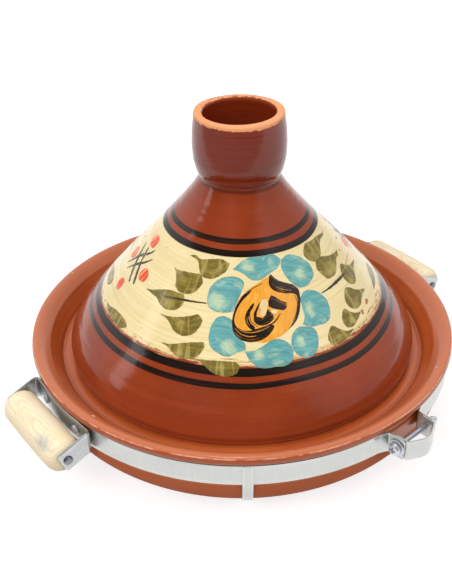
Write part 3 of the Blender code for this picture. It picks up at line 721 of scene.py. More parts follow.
def make_lid(material):
    """The turned lid, with throwing rings outside and in the knob's cup."""
    outline = choose_rows(soften(lid_outline(), 0.0004), 0.0019, 0.085)
    proud = convex(outline, 0.0022)
    rows = outline[1:-1]
    walked = lengths_along(outline)
    ways = np.gradient(outline, walked, axis=0)[1:-1]
    grid = lathe(rows, LID_STEPS)
    turn = np.arctan2(grid[..., 1], grid[..., 0])
    radius, height = rows[:, :1], rows[:, 1:]
    lowest = np.argmin(outline[60:, 1]) + 60
    outside = walked[1:-1, None] < walked[lowest]
    cup = (height > KNOB_TOP - 0.0415) & (radius < KNOB_RIM_R - KNOB_WALL * 0.6)
    out = np.where(outside & ~cup, thrown(turn, height), 0.0)
    out = np.where(cup, 0.00022 * (np.cos(height * 1000 * 1.5 + turn) - 1), out)
    normal = np.column_stack([-ways[:, 1], ways[:, 0]])
    grid[..., 0] += normal[:, :1] * out * np.cos(turn)
    grid[..., 1] += normal[:, :1] * out * np.sin(turn)
    grid[..., 2] += normal[:, 1:] * out + LID_Z
    poles = ((0, 0, outline[0, 1] + LID_Z), (0, 0, outline[-1, 1] + LID_Z))
    body = shell(grid, poles=poles, proud=proud[1:-1, None], cup=cup * 1.0)
    piece("lid_clay", [body], material, "lid", ["lid"], 60.0)


print("slant length of the flank, mm:", round(1000 * FLANK_SLANT[-1], 1))

# %% [markdown]
# The ground colours of the lid were laid on while it turned: a cream field between pairs of black
# lines. A ring of paint is a range of heights, so its mask reads the height, and a slow noise
# makes it wander as a hand does. All heights here are in mm above the lid's lower edge.

# %% Finish of the lid
CREAM_FIELD = (47.5, 104.0)
BLACK_LINES = ((109.0, 112.0), (102.3, 105.8), (42.0, 46.2), (35.8, 39.0))
KNOB_FOOT = 138.5
DRIP_SIDE = math.radians(-146.0)


def wandering(height, value, reach):
    """A height moved up and down by a noise, by its reach in all."""
    return height + (value - 0.5) * reach


def make_lid_glaze():
    """Red glaze, cream field, two pairs of black lines, unglazed rim; painted shade and highlights."""
    material, tree, where = new_finish("lid_glaze", 0.18, specular=0.42)
    wear = use(tree, GLAZE_WEAR, {"Where": where})
    lines = use(tree, TURNING_LINES, {"Where": where})
    fine, cloud = lines["Fine"], wear["Cloud"]
    slow = noise(stretched(where, (1.0, 1.0, 0.0)), 9.0, 1.0)
    hairy = noise(stretched(where, (26.0, 26.0, 420.0)), 1.0, 4.0, 0.65)
    flecks = noise(stretched(where, (120.0, 120.0, 900.0)), 1.0, 4.0, 0.65)
    height = wandering(height_of(where) * 1000.0 - 1000.0 * LID_Z, slow, 3.2)
    ragged = wandering(height, hairy, 0.9)
    worn = wandering(wandering(height, hairy, 5.0), flecks, 6.0)

    clay = mixed(ease(cloud, 0.34, 0.68), ink(136, 52, 22), ink(154, 63, 29))
    clay = mixed(ease(fine, 0.35, 0.72), clay, ink(122, 46, 20), 0.35)
    cream = mixed(ease(fine, 0.36, 0.66), ink(237, 219, 168), ink(227, 204, 147))
    cream = mixed(ease(cloud, 0.40, 0.75), cream, ink(231, 211, 158))
    cream = mixed(ease(fine, 0.70, 0.76), cream, ink(176, 120, 74), 0.45)
    low, high = CREAM_FIELD
    field = ease(worn, low - 0.2, low + 0.3) * ease(height, high + 0.4, high - 0.4)
    colour = mixed(field, clay, cream)
    sooty = between(worn, low - 0.9, low + 2.7, 1.2) * ease(flecks, 0.46, 0.60)
    colour = mixed(sooty, colour, ink(176, 96, 52), 0.7)
    black = mixed(ease(fine, 0.45, 0.75), ink(26, 18, 14), ink(52, 30, 19))
    for low, high in BLACK_LINES:
        colour = mixed(between(ragged, low, high, 0.35), colour, black)
    colour = mixed(wear["Specks"], colour, ink(92, 52, 32), 0.8)

    knob = mixed(ease(fine, 0.40, 0.70), ink(114, 33, 11), ink(99, 27, 9))
    colour = mixed(ease(height, KNOB_FOOT, KNOB_FOOT + 7.5), colour, knob, 0.75)
    # painted shade: two dark rings in the creases at the knob's foot
    lower_crease_shade = between(ragged, KNOB_FOOT - 2.3, KNOB_FOOT + 0.1, 1.2)
    upper_crease_shade = between(ragged, KNOB_FOOT + 2.1, KNOB_FOOT + 3.3, 1.0)
    colour = mixed(worked("MAXIMUM", lower_crease_shade, upper_crease_shade), colour, ink(58, 22, 14), 0.6)
    # painted highlight: convex edges of the lid and knob are painted paler
    edge_highlight = ease(attribute(tree, "proud") + lines["Broad"] * 0.1, 0.12, 0.42)
    colour = mixed(edge_highlight, colour, ink(186, 100, 58), 0.6)
    side = along(where, (math.cos(DRIP_SIDE), math.sin(DRIP_SIDE), 0))
    dripped = ease(side, -0.004, 0.024) * 1.7 + height
    rim = ease(noise(where, 330.0, 4.0, 0.7) * 3.8 + dripped, 185.5, 186.1)
    colour = mixed(rim, colour, mixed(cloud, ink(226, 142, 92), ink(243, 172, 124)))
    # painted shade: the cup is painted darker towards its floor
    dark = attribute(tree, "cup") * ease(height, 184.0, 160.0)
    colour = mixed(dark, colour, ink(100, 34, 18), 0.35)

    rough = worked("MAXIMUM", cloud * 0.14 + 0.05, rim * 0.75)
    relief = wear["Height"] + lines["Broad"] * 0.9 - rim * noise(where, 900.0, 3.0)
    return finished(material, colour, relief, 0.00035, 0.5, rough)


LID_GLAZE = make_lid_glaze()
make_lid(LID_GLAZE)

# %% [markdown]
# The flowers are quick strokes of a loaded brush, in the way of folk pottery. Each stroke is its
# own thin shell of paint on the lid: a middle line, a width that swells and thins, and edges that
# sink just under the glaze. Real strokes have streaks along them, so each point also keeps how far
# along and across its stroke it lies.


# %% Strokes of paint
STROKE_ROWS = 44
PATCH_ROWS = 56


def flowing(knots, count):
    """Smooth line through the knots: cubic pieces whose slopes are the mean slopes at each knot."""
    knots = np.asarray(knots, float)
    chord = lengths_along(knots)
    slopes = np.gradient(knots, chord, axis=0)
    places = np.linspace(0, chord[-1], count)
    k = np.clip(np.searchsorted(chord, places, "right") - 1, 0, len(chord) - 2)
    step = (chord[k + 1] - chord[k])[:, None]
    t = (places - chord[k])[:, None] / step
    return ((2 * t ** 3 - 3 * t ** 2 + 1) * knots[k] + (t ** 3 - 2 * t ** 2 + t) * step * slopes[k]
            + (3 * t ** 2 - 2 * t ** 3) * knots[k + 1] + (t ** 3 - t ** 2) * step * slopes[k + 1])


def on_chart(knots):
    """Knots (azimuth in degrees, height in mm) laid flat in mm; also the chart's radius."""
    knots = np.asarray(knots, float)
    slant = slant_at(knots[:, 1])
    radius = float(np.interp(slant.mean() / 1000, FLANK_SLANT, FLANK[:, 0]) * 1000)
    return np.column_stack([np.radians(knots[:, 0]) * radius, slant]), radius


def paint_between(left, right, radius, lift, seed, ragged=0.25, columns=10, pool=None):
    """Closed skin of paint between two edge lines on the flat chart, in mm.

    Across(a) = middle + half width cos a for a going round once: the upper half of the turn is
    the painted face, lifted by a flat-topped hill, and the lower half lies under the surface. A
    pool (azimuth, height, reach) is where thinly laid paint looks pale: exp(-(distance / reach)^2).
    """
    share = np.linspace(0, 1, len(left))
    rough = np.random.default_rng(seed)
    middle, half = (left + right) / 2, (left - right) / 2
    size = np.maximum(np.linalg.norm(half, axis=1), 1e-6)
    way = half / size[:, None]
    shaken = []
    for _ in range(2):
        wave = ripple(share * 2 * math.pi, int(rough.integers(1e6)), (5, 9, 14, 23), 0.4)
        shaken.append((size + ragged * wave * np.minimum(size, 1))[:, None])
    turn = np.linspace(0, 2 * math.pi, 2 * columns, endpoint=False)
    across = np.cos(turn)
    wide = np.where(across > 0, *shaken)
    flat = middle[:, None] + way[:, None] * (across * wide)[..., None]
    end = np.clip(size / size.max(), 0, 1)[:, None] ** 0.7
    hill = np.where(np.sin(turn) >= 0, 1.3 * (1 - across ** 8) - 0.3, -1.6 * (1 - across ** 2) - 0.3)
    height = lift * np.where(hill > 0, hill * end, hill)
    grid = on_lid(np.degrees(flat[..., 0] / radius), flat[..., 1], height)
    tip = 1 - 12 * np.minimum(share, 1 - share)[:, None]
    pale = 0.0
    if pool is not None:
        spot = np.array([math.radians(pool[0]) * radius, float(slant_at(pool[1]))])
        pale = np.exp(-(np.linalg.norm(flat - spot, axis=-1) / pool[2]) ** 2)
    return shell(grid, across=across * wide, along=lengths_along(middle)[:, None], seed=float(seed % 97),
                 edge=np.maximum(np.abs(across), tip), pool=pale)


def stroke(knots, widths, lift, seed):
    """One pull of the brush: knots of its middle line (azimuth, height) and its widths in mm."""
    flat, radius = on_chart(knots)
    line = flowing(flat, STROKE_ROWS)
    ways = np.gradient(line, axis=0)
    ways /= np.linalg.norm(ways, axis=1)[:, None]
    half = np.interp(np.linspace(0, 1, STROKE_ROWS), np.linspace(0, 1, len(widths)), widths) / 2
    far = lengths_along(line)
    nose = np.clip(np.minimum(far, far[-1] - far) / np.maximum(half.max(), 0.1), 0, 1)
    half = half * np.sqrt(np.clip(1 - (1 - nose) ** 2, 0.01, 1))
    side = np.column_stack([-ways[:, 1], ways[:, 0]]) * half[:, None]
    return paint_between(line + side, line - side, radius, lift, seed)


def patch(upper, lower, lift, seed, pool):
    """A patch of paint between an upper and a lower edge, each through knots (azimuth, height)."""
    both, radius = on_chart(list(upper) + list(lower))
    top, bottom = (flowing(edge, PATCH_ROWS) for edge in (both[:len(upper)], both[len(upper):]))
    return paint_between(top, bottom, radius, lift, seed, 0.22, 14, pool)


def round_patch(middle, width, height, turn, lift, seed, square, lobes):
    """A rounded dab of paint: a superellipse, turned, with an uneven edge.

    Edge at angle a: (w/2 |cos a|^(2/s), h/2 |sin a|^(2/s)) times 1 + lobes * ripple(a).
    """
    centre, radius = on_chart([middle])
    c, s = math.cos(math.radians(turn)), math.sin(math.radians(turn))
    edges = []
    for a in (np.linspace(math.pi, 0, 36), np.linspace(-math.pi, 0, 36)):
        swell = 1 + lobes * ripple(a, seed, (2, 3, 5), 0.3)
        x = width / 2 * np.sign(np.cos(a)) * np.abs(np.cos(a)) ** (2 / square) * swell
        y = height / 2 * np.sign(np.sin(a)) * np.abs(np.sin(a)) ** (2 / square) * swell
        edges.append(centre[0] + np.column_stack([x * c - y * s, x * s + y * c]))
    return paint_between(edges[0], edges[1], radius, lift, seed, 0.2)


print("a stroke 30 mm long has", stroke([(0, 70), (15, 70)], [1, 3, 2], 0.1, 1)["points"].shape[0], "points")

# %% [markdown]
# The pattern comes twice round the lid, half a turn apart. Each row below is one touch of the
# brush, through knots of azimuth in degrees from the camera's side and height in mm above the lid's
# lower edge. A patch has an upper edge, a lower edge and often a pale pool with its reach in mm. A
# stroke has a middle line and widths in mm. A dab has its middle, its width, height and lean.

# %% Where the painter put the strokes
PETALS = (
    ([(-6.3, 96.3), (-1.5, 99.8), (3, 101.9), (13, 102.3), (22.5, 101.9), (26.3, 98.5)],
     [(-6.3, 96.3), (0.5, 93.8), (4.5, 90.8), (10, 90), (15.5, 92.2), (23.5, 95.6), (26.3, 98.5)],
     (2.5, 97.5, 5)),
    ([(24.4, 93.5), (25.5, 97.5), (30, 99.9), (35, 99.5), (39.4, 97.4), (43.1, 93.8), (44.7, 89.1),
      (43.6, 85)],
     [(24.4, 93.5), (26.3, 87.7), (28.8, 83.8), (31.3, 81.8), (35, 81.3), (39.4, 82.7), (43.6, 85)],
     (35.5, 88.5, 5)),
    ([(26, 63.8), (28, 67), (28.6, 72), (29.6, 77.5), (33, 79.9), (38.8, 78.2), (41.6, 74.9), (43.1, 70.6),
      (42.5, 66.3)],
     [(26, 63.8), (30, 61.1), (33.8, 60.3), (37.5, 60), (40.3, 62), (42.5, 66.3)], (31.5, 69.5, 4)),
    ([(18.7, 55.5), (20.3, 60.5), (23.8, 63.4), (27.5, 62.7), (30.8, 60), (31.2, 56.5), (29.4, 50.6)],
     [(18.7, 55.5), (20, 50), (23, 47), (26.3, 47.4), (29.4, 50.6)], (22.5, 56.5, 4)),
    ([(0, 55), (3.8, 55.2), (8.1, 57.7), (11.3, 59.9), (15, 59.5), (17.5, 57.4), (19.1, 53.4), (18, 48)],
     [(0, 55), (1.5, 51), (4.8, 46.5), (11.3, 45.8), (15.5, 46), (18, 48)], (5.5, 53, 4)),
    ([(-15, 61), (-14.4, 67.7), (-11.9, 72), (-8.5, 72.7), (-5.5, 71), (-4, 66), (-1.5, 61.5), (0.6, 58),
      (0.4, 55.5)],
     [(-15, 61), (-13.8, 56.6), (-10.6, 53.4), (-6.3, 52), (-2.5, 54.3), (0.4, 55.5)], (-6.5, 58.5, 5)),
    ([(-18.8, 80.6), (-18.3, 86), (-15.5, 89.8), (-8.8, 92.7), (-2.5, 92.3), (0.7, 90), (-1, 84.5),
      (-3.5, 79), (-4.8, 75)],
     [(-18.8, 80.6), (-17.5, 76.3), (-13.8, 74.1), (-9.4, 73.8), (-4.8, 75)], (-12.5, 79.5, 6)),
)
LEAVES = (
    ([(-37, 99.7), (-33, 100.4), (-29.7, 99.4), (-22, 100.3), (-13, 100.9), (-8.4, 99)],
     [(-37, 99.3), (-33, 98.6), (-30, 97.5), (-28, 94.5), (-25.5, 91.2), (-20, 90), (-14, 92.2),
      (-9.5, 96), (-8.4, 99)],
     (-24.5, 95, 4)),
    ([(-44.8, 90.7), (-41.5, 90.3), (-38, 90.7), (-31.5, 91.4), (-25, 91.2), (-23, 87.8)],
     [(-44.8, 90.5), (-42, 88.4), (-40, 85.5), (-38.5, 82), (-34, 79.7), (-28, 80.8), (-24.5, 84.4),
      (-23, 87.8)],
     (-35, 86, 4)),
    ([(-55, 73.6), (-51, 75), (-47, 77), (-41.5, 79.2), (-36, 79.7), (-31.6, 79.4), (-30.2, 76.3)],
     [(-55, 73.2), (-50, 73), (-45.7, 72.3), (-42, 70), (-37.5, 69.2), (-33.5, 70.6), (-30.8, 73.6),
      (-30.2, 76.3)],
     (-37, 72.5, 4)),
    ([(-39.8, 66.2), (-35.5, 66.6), (-31, 67.8), (-25.5, 70), (-21, 71.5), (-18.7, 69)],
     [(-39.8, 65.8), (-36, 65), (-33.5, 63.2), (-30.8, 60.5), (-27, 59), (-22.8, 60.3), (-19.7, 64.8),
      (-18.7, 69)],
     (-28, 63.5, 4)),
    ([(-34, 53), (-30.8, 53.4), (-25.5, 55.8), (-20, 57.6), (-16.3, 57.8), (-16, 55.5)],
     [(-34, 52.6), (-31.5, 52), (-28.8, 50.3), (-26, 48.4), (-22.5, 48.1), (-18, 50.8), (-16, 55.5)],
     (-26, 51.5, 4)),
    ([(-20, 49.6), (-15, 49.7), (-7.5, 50), (-2.8, 49.2), (-1.8, 47.5)],
     [(-20, 49.2), (-16.5, 48.3), (-13.8, 45.6), (-10.5, 43), (-6.3, 42.3), (-3, 44), (-1.8, 47.5)],
     (-9, 47, 3)),
    ([(-74.5, 50.2), (-69.5, 51.5), (-65.5, 53), (-60, 53.5), (-55.5, 52.7), (-53.3, 50.9)],
     [(-74.5, 49.8), (-71.5, 48.7), (-67, 47.9), (-61.5, 47.6), (-55.7, 48.2), (-53.3, 50.9)],
     (-63, 50.5, 3)),
    ([(43.7, 95.8), (45.5, 98.6), (49.4, 100.9), (57.5, 100.3), (65, 99.9), (70, 99), (74, 97.9),
      (77.3, 97.8)],
     [(43.7, 95.8), (45.6, 92.4), (49.4, 90.2), (55, 90.5), (59, 92.4), (62.5, 95.2), (67.5, 96.8),
      (73, 96.6), (77.3, 97.4)],
     (52, 93, 5)),
    ([(47.4, 86.5), (49.2, 89.8), (52.5, 91.4), (57.5, 90.3), (63.8, 87.8), (70, 86.1), (74.5, 85.4)],
     [(47.4, 86.5), (48.8, 82.5), (50.8, 79.2), (55, 78.2), (59.5, 78.9), (63.8, 81.4), (67.5, 83.2),
      (72, 83.5), (74.5, 85)],
     (53.5, 82, 5)),
    ([(61.5, 73.4), (63.2, 77.2), (67.4, 80), (71.3, 77), (75, 74.1), (79.4, 72.9), (83.2, 71.6)],
     [(61.5, 73.4), (63, 69), (66.3, 66.4), (70, 67), (73.3, 69.6), (76.5, 71.2), (80, 71.3),
      (83.2, 71.2)], (67, 70, 4)),
    ([(52.6, 63.4), (54.4, 67), (58.7, 69.6), (61.3, 67.8), (64.4, 64.2), (67.5, 61.8), (70.7, 59.8)],
     [(52.6, 63.4), (53.4, 59.8), (56.3, 57), (60.6, 56.6), (64.4, 58.5), (67.5, 59.2), (70.7, 59.4)],
     (58, 60, 4)),
    ([(45.2, 55.5), (46, 58.6), (50, 61.7), (52, 58.4), (54.5, 56), (57.6, 54.5)],
     [(45.2, 55.5), (46, 52.6), (49.4, 51.2), (53, 52.3), (57.6, 54.1)], (50, 54.5, 3)),
    ([(34.6, 52), (35.9, 55), (39.1, 57.7), (41.9, 54.6), (44.4, 51.7), (48.4, 50.4)],
     [(34.6, 52), (35.4, 49), (38, 47.3), (42.5, 47.9), (45.6, 48.8), (48.4, 50)], (40, 50.5, 3)),
    ([(77, 53.2), (82, 55.7), (86.3, 57.8), (91.3, 58.3), (95.6, 57.5), (96.7, 55.5)],
     [(77, 52.8), (83.8, 52.2), (90, 51.9), (94.4, 52.7), (96.7, 55.5)], (90, 54.5, 4)),
)
HEART = ([(17, 92.4), (10, 89.7), (2, 85.8), (-3, 81), (-5, 73), (-4, 66.5), (1.5, 60.6), (8, 58.4)],
         [(17, 92.4), (21, 87.6), (27, 83.6), (30, 79.8), (28.4, 74), (23.5, 66.5), (16, 61), (8, 58.4)],
         (12, 66, 7))
OUTLINES = (
    ([(12.6, 89), (7.5, 87), (2.4, 84.6), (-1.6, 81.3), (-4, 77.2), (-5, 73.3), (-5.4, 69.3), (-5, 65.6),
      (-3.2, 62.1), (0.4, 59.8), (4.7, 59.3), (8.6, 60.6), (12.4, 64), (15.4, 69.3)],
     [(12.6, 88.4), (8, 85.9), (3.1, 83.3), (-0.7, 80), (-3, 76.2), (-4.1, 72.8), (-4.2, 69.6), (-3, 67.4),
      (-0.6, 65.9), (3.2, 65.8), (6.6, 66.8), (10.4, 67.5), (13.1, 68.2), (15.4, 69.3)]),
    ([(14.2, 87.6), (16.8, 92.5), (18.6, 90.4), (21.4, 88.2), (25.4, 86.2), (28.6, 84.2), (30.2, 81.6),
      (29.8, 78), (28.2, 73.7), (25.8, 69.1), (22.6, 65.5), (18.4, 62.8)],
     [(14.2, 87.6), (15.6, 84.5), (17.6, 82.7), (21.9, 80.9), (26, 79.9), (27.6, 79), (27.6, 76.6),
      (26.6, 73.3), (24.8, 70), (22.4, 66.8), (18.4, 62.8)]),
    ([(6.6, 80.8), (3.6, 78), (1.4, 75.1), (0.4, 72.5), (0.7, 69.2), (2.2, 66.4), (4.6, 64.4)],
     [(6.6, 80), (5, 77), (3.2, 74.2), (2.4, 71.8), (3.2, 69.2), (4.8, 67), (4.6, 64.4)]),
    ([(9, 78.6), (6.6, 76), (4.8, 73.2), (4, 70.6), (5, 68.3), (7.4, 66.9), (10.2, 67.2), (13.3, 68.9),
      (16.8, 73)],
     [(9, 77.9), (8, 76.1), (7.1, 73.7), (7.5, 72.2), (8.9, 71.2), (10.4, 73), (11.6, 75.8), (13.4, 73.4),
      (16.8, 73)]),
    ([(11.7, 77.5), (13.1, 80.4), (14.9, 82.2), (16.6, 81.1), (19.2, 78.8), (21.8, 76.7), (21.4, 74.8),
      (19.6, 72.4)],
     [(11.7, 77.5), (12.4, 76), (14.5, 74.6), (17.4, 73.5), (19.6, 72.4)]),
)
LIGHTS = (
    ([(10.3, 81.9), (8.6, 79.8), (7.4, 77.9), (7.6, 75.6), (7.1, 73), (8.4, 71.2)],
     [(10.3, 81.9), (11.9, 80.5), (12.6, 78.6), (11.8, 76.2), (11.2, 72.9), (8.4, 71.2)]),
    ([(12.4, 75.2), (14.5, 74.6), (17.4, 73.5)], [(12.4, 75.2), (13.9, 72.2), (17.4, 73.5)]),
)
DARK_HAIRS = (([(5.2, 79.4), (2.9, 74.6), (3.2, 70), (6.2, 66.9)], [0.4, 0.7, 0.4]),
              ([(8.8, 79.6), (6.7, 76.4), (5.3, 73), (5.6, 69.4), (8.2, 67.6)], [0.7, 1.7, 2.2, 2.0, 1.2]),
              ([(11.6, 75.6), (12, 73), (10, 70.2), (7, 68.4)], [0.8, 2.6, 3.0, 1.4]),
              ([(9.6, 66.8), (13.4, 68.2), (17.4, 72.2)], [0.8, 1.3, 0.5]),
              ([(11.2, 88.6), (5, 86.2), (-0.6, 82.4), (-2.6, 78.6)], [0.4, 0.7, 0.4]),
              ([(26.8, 80), (27.2, 76), (25.2, 71), (22, 66.6)], [0.4, 0.8, 0.4]))
BARE_HAIRS = (([(-4.2, 67), (-1.6, 63.8), (3, 62.2), (8, 63.4)], [0.3, 0.6, 0.3]),
              ([(-2.4, 65.9), (1.6, 64.4), (6.6, 64.6), (11.4, 66.6)], [0.3, 0.5, 0.3]),
              ([(1.4, 72.8), (1.6, 69.6), (3.4, 66.8)], [0.2, 0.4, 0.2]),
              ([(16.6, 86.4), (21.6, 83.6), (26.4, 82)], [0.2, 0.5, 0.2]))
TWIGS = (([(-18.3, 77.9), (-30.3, 77), (-43, 75.2)], [0.8, 1.6, 0.7]),
         ([(41.9, 74.9), (49, 75), (57, 75.2), (63, 75), (68, 74.8)], [0.7, 1.6, 2.4, 2.2, 0.6]))
STEMS = (([(68.8, 76.6), (76, 77.2), (85, 77)], [1.5, 1.9, 0.9]),
         ([(82, 94.6), (86, 95.2), (89, 94.8)], [0.4, 0.7, 0.4]))
HASHES = (([(-84.5, 88.3), (-81.7, 84.1), (-79, 80.6), (-75, 74.9), (-70, 68.4)],
           [1.0, 2.6, 3.0, 2.8, 2.2]),
          ([(-76.9, 88.8), (-75, 84.9), (-71.7, 79.1), (-68.3, 74.1), (-65.5, 69.8)],
           [2.2, 2.8, 2.6, 2.8, 2.4]),
          ([(-85.7, 70.9), (-82.3, 76.3), (-79, 81.3), (-75, 84.5), (-70.3, 88.4), (-68, 91.3)],
           [0.8, 1.6, 2.8, 2.8, 2.2, 1.2]),
          ([(-81.3, 69.9), (-78.3, 74.1), (-75, 77.7), (-69.7, 82), (-64.5, 87.1)],
           [0.7, 1.7, 2.6, 2.0, 0.9]))
BERRIES = ((-75.7, 93.8, 11.5, 10.2, 0), (-87, 78.3, 10.5, 10.2, 10), (-63, 77.6, 11, 10, -15),
           (-75.8, 62.8, 9, 10.6, 0))
DRIPS = ((86.9, 86.6, 2.0, 2.0, 0), (77.2, 83.6, 1.8, 1.4, 0), (51.6, 49.3, 1.4, 1.2, 0),
         (-60, 96.5, 1.0, 0.7, 0))
BARE_PATCHES = ((58.5, 53.5, 4, 3.4, 20), (65.5, 55, 6, 3.0, 8), (63, 50.9, 9, 1.4, 2),
                (76, 50.8, 10, 1.2, 2), (-6, 51.1, 12, 0.7, 0), (24, 51.4, 6, 0.6, 0), (36, 47.6, 14, 1.2, 0),
                (8, 46.6, 10, 1.0, 0), (-32, 47, 12, 1.2, 0))
print("petals:", len(PETALS), "leaves:", len(LEAVES), "hash strokes:", len(HASHES))

# %% [markdown]
# The tables are read by a few small functions, one for each way of laying paint. A pattern that
# starts half a turn round gets other seeds, so that no stroke is an exact copy.


# %% From the tables to shells of paint
def turned_by(knots, turn):
    """Knots moved round the lid by a turn in degrees."""
    return [(azimuth + turn, height) for azimuth, height in knots]


def patches(table, turn, lift, seed):
    """Patches of a table of (upper edge, lower edge, pale pool), moved round by a turn."""
    made = []
    for k, (upper, lower, *pool) in enumerate(table):
        pale = (pool[0][0] + turn, *pool[0][1:]) if pool else None
        made.append(patch(turned_by(upper, turn), turned_by(lower, turn), lift + 0.004 * k, seed + k, pale))
    return made


def dabs(table, turn, lift, seed, square=2.0, lobes=0.10):
    """Rounded dabs of a table of (azimuth, height, width, height, lean), moved round by a turn."""
    return [round_patch((a + turn, h), w, t, lean, lift + 0.003 * k, seed + k, square, lobes)
            for k, (a, h, w, t, lean) in enumerate(table)]


def strokes(table, turn, lift, seed):
    """Strokes of a table of (middle line, widths), moved round by a turn."""
    return [stroke(turned_by(knots, turn), widths, lift + 0.006 * k, seed + 7 * k)
            for k, (knots, widths) in enumerate(table)]


# each layer: the way it is laid, its table, its lift in mm and its first seed, then a dab's shape
LAYERS = {
    "petals": ((patches, PETALS, 0.10, 40),),
    "leaves": ((patches, LEAVES, 0.10, 60), (dabs, DRIPS, 0.10, 150)),
    "heart": ((patches, (HEART,), 0.17, 80), (strokes, BARE_HAIRS, 0.32, 170)),
    "dark": ((patches, OUTLINES, 0.26, 100), (strokes, DARK_HAIRS, 0.29, 190)),
    "light": ((patches, LIGHTS, 0.22, 110),),
    "twigs": ((strokes, TWIGS, 0.18, 130),),
    "stems": ((strokes, STEMS, 0.10, 130),),
    "hashes": ((strokes, HASHES, 0.15, 130),),
    "berries": ((dabs, BERRIES, 0.10, 90, 2.2),),
    "bare": ((dabs, BARE_PATCHES, 0.08, 120, 1.7, 0.30),),
}


def painted(kind, turn, more_seed):
    """Shells of one kind of paint for the pattern that starts at a turn; lifts are in mm."""
    return [coat for way, table, lift, seed, *shape in LAYERS[kind]
            for coat in way(table, turn, lift, seed + more_seed, *shape)]


print("kinds of paint:", list(LAYERS))

# %% [markdown]
# One recipe makes every paint. It reads the numbers kept along and across each stroke, so the
# streaks follow the brush, and the paint is deeper at its rim and paler in its pool.


# %% Paint on the lid
def make_paint(name, main, deep, pale, dry, streak=0.6, band=0.0, rim=0.5, pools=0.7, gaps=0.0):
    """Brushed glaze paint: a main colour, streaked, with deep, pale and dry places.

    gaps is how much of the ground shows between the hairs of a dry brush.
    """
    material, tree, where = new_finish(name, 0.18)
    kept = {key: attribute(tree, key.lower()) for key in ("Across", "Along", "Seed", "Edge")}
    marks = use(tree, BRUSH_MARKS, kept)
    wear = use(tree, GLAZE_WEAR, {"Where": where})
    lines = use(tree, TURNING_LINES, {"Where": where})
    streaks, clouds = marks["Streaks"], marks["Clouds"]
    colour = mixed(ease(streaks, 0.36, 0.64), ink(*main), ink(*deep), streak)
    colour = mixed(ease(marks["Bands"], 0.50, 0.62), colour, ink(*pale), band)
    colour = mixed(ease(clouds, 0.52, 0.70), colour, ink(*pale), 0.45)
    pooled = attribute(tree, "pool") + ease(streaks, 0.30, 0.70) * 0.55 + ease(clouds, 0.30, 0.70) * 0.50
    colour = mixed(ease(pooled, 0.65, 1.60), colour, ink(*pale), pools)
    colour = mixed(ease(attribute(tree, "edge"), 0.80, 1.0), colour, ink(*deep), rim)
    colour = mixed(ease(lines["Fine"], 0.52, 0.72), colour, ink(*pale), 0.18)
    bare = ease(streaks, 0.56, 0.64) * gaps
    colour = mixed(worked("MAXIMUM", marks["Dry"], bare), colour, ink(*dry))
    colour = mixed(wear["Specks"], colour, ink(80, 50, 36), 0.5)
    return finished(material, colour, wear["Height"] + streaks * 0.5, 0.0003, 0.45)


CREAM = (230, 208, 152)
PAINTS = (
    # kind of paint, piece, material, inks (main, deep, pale, dry) and strengths
    ("petals", "painted_petals", "petal_blue", (104, 171, 170), (60, 124, 130), (188, 207, 168), CREAM,
     {"streak": 0.62, "pools": 0.9}),
    ("leaves", "painted_leaves", "leaf_green", (132, 114, 42), (82, 68, 24), (192, 172, 98), CREAM,
     {"streak": 0.75, "band": 0.5, "pools": 0.35}),
    ("heart", "painted_hearts", "heart_orange", (238, 162, 54), (210, 136, 38), (248, 182, 80),
     (240, 206, 124), {"streak": 0.5, "rim": 0.15}),
    ("dark", "painted_outlines", "outline_black", (34, 26, 21), (20, 16, 14), (62, 44, 28), (150, 94, 34),
     {"streak": 0.5, "rim": 0.2, "gaps": 0.75}),
    ("light", "painted_lights", "light_dabs", (228, 206, 158), (226, 176, 100), (238, 222, 186),
     (236, 186, 104), {"streak": 0.5, "rim": 0.2}),
    ("twigs", "painted_twigs", "twig_brown", (58, 48, 34), (38, 32, 26), (100, 88, 56), CREAM, {}),
    ("stems", "painted_stems", "stem_pink", (222, 180, 138), (200, 144, 108), (236, 208, 164), CREAM, {}),
    ("hashes", "painted_hashes", "hash_black", (56, 48, 38), (32, 28, 26), (98, 86, 62), CREAM,
     {"gaps": 0.3}),
    ("berries", "painted_berries", "berry_red", (230, 62, 26), (198, 40, 20), (248, 170, 108), CREAM,
     {"streak": 0.3, "band": 1.0, "rim": 0.3}),
    ("bare", "bare_patches", "bare_clay", (178, 108, 66), (150, 78, 44), (222, 176, 122), CREAM,
     {"streak": 0.7, "band": 0.5}),
)
for kind, paint_piece, paint_name, *inks, strengths in PAINTS:
    coats = painted(kind, 0.0, 0) + painted(kind, 180.0, 11)
    piece(paint_piece, coats, make_paint(paint_name, *inks, **strengths), "lid")

# %% [markdown]
# All the steel is zinc-coated sheet, rod or pin. Each edge keeps a number for wear, because zinc
# rubs off and shines there first.


# %% Finishes of the steel
def make_steel(name, tint, shade, rough, depth, metal):
    """Galvanised sheet: metal with a faint spangle, dull clouds and brighter rubbed edges."""
    material, tree, where = new_finish(name, rough, metal)
    worn = attribute(tree, "worn")
    sheet = use(tree, STEEL_SHEET, {"Where": where, "Worn": worn})
    colour = mixed(ease(sheet["Tone"], 0.30, 0.80), shade, tint)
    rubbed = worn * ease(sheet["Tone"], 0.35, 0.62)
    colour = mixed(rubbed, colour, ink(232, 233, 231), 0.15)
    roughness = worked("ADD", sheet["Rough"], rough - 0.18, clamp=True)
    return finished(material, colour, sheet["Height"], depth, 0.5, roughness)


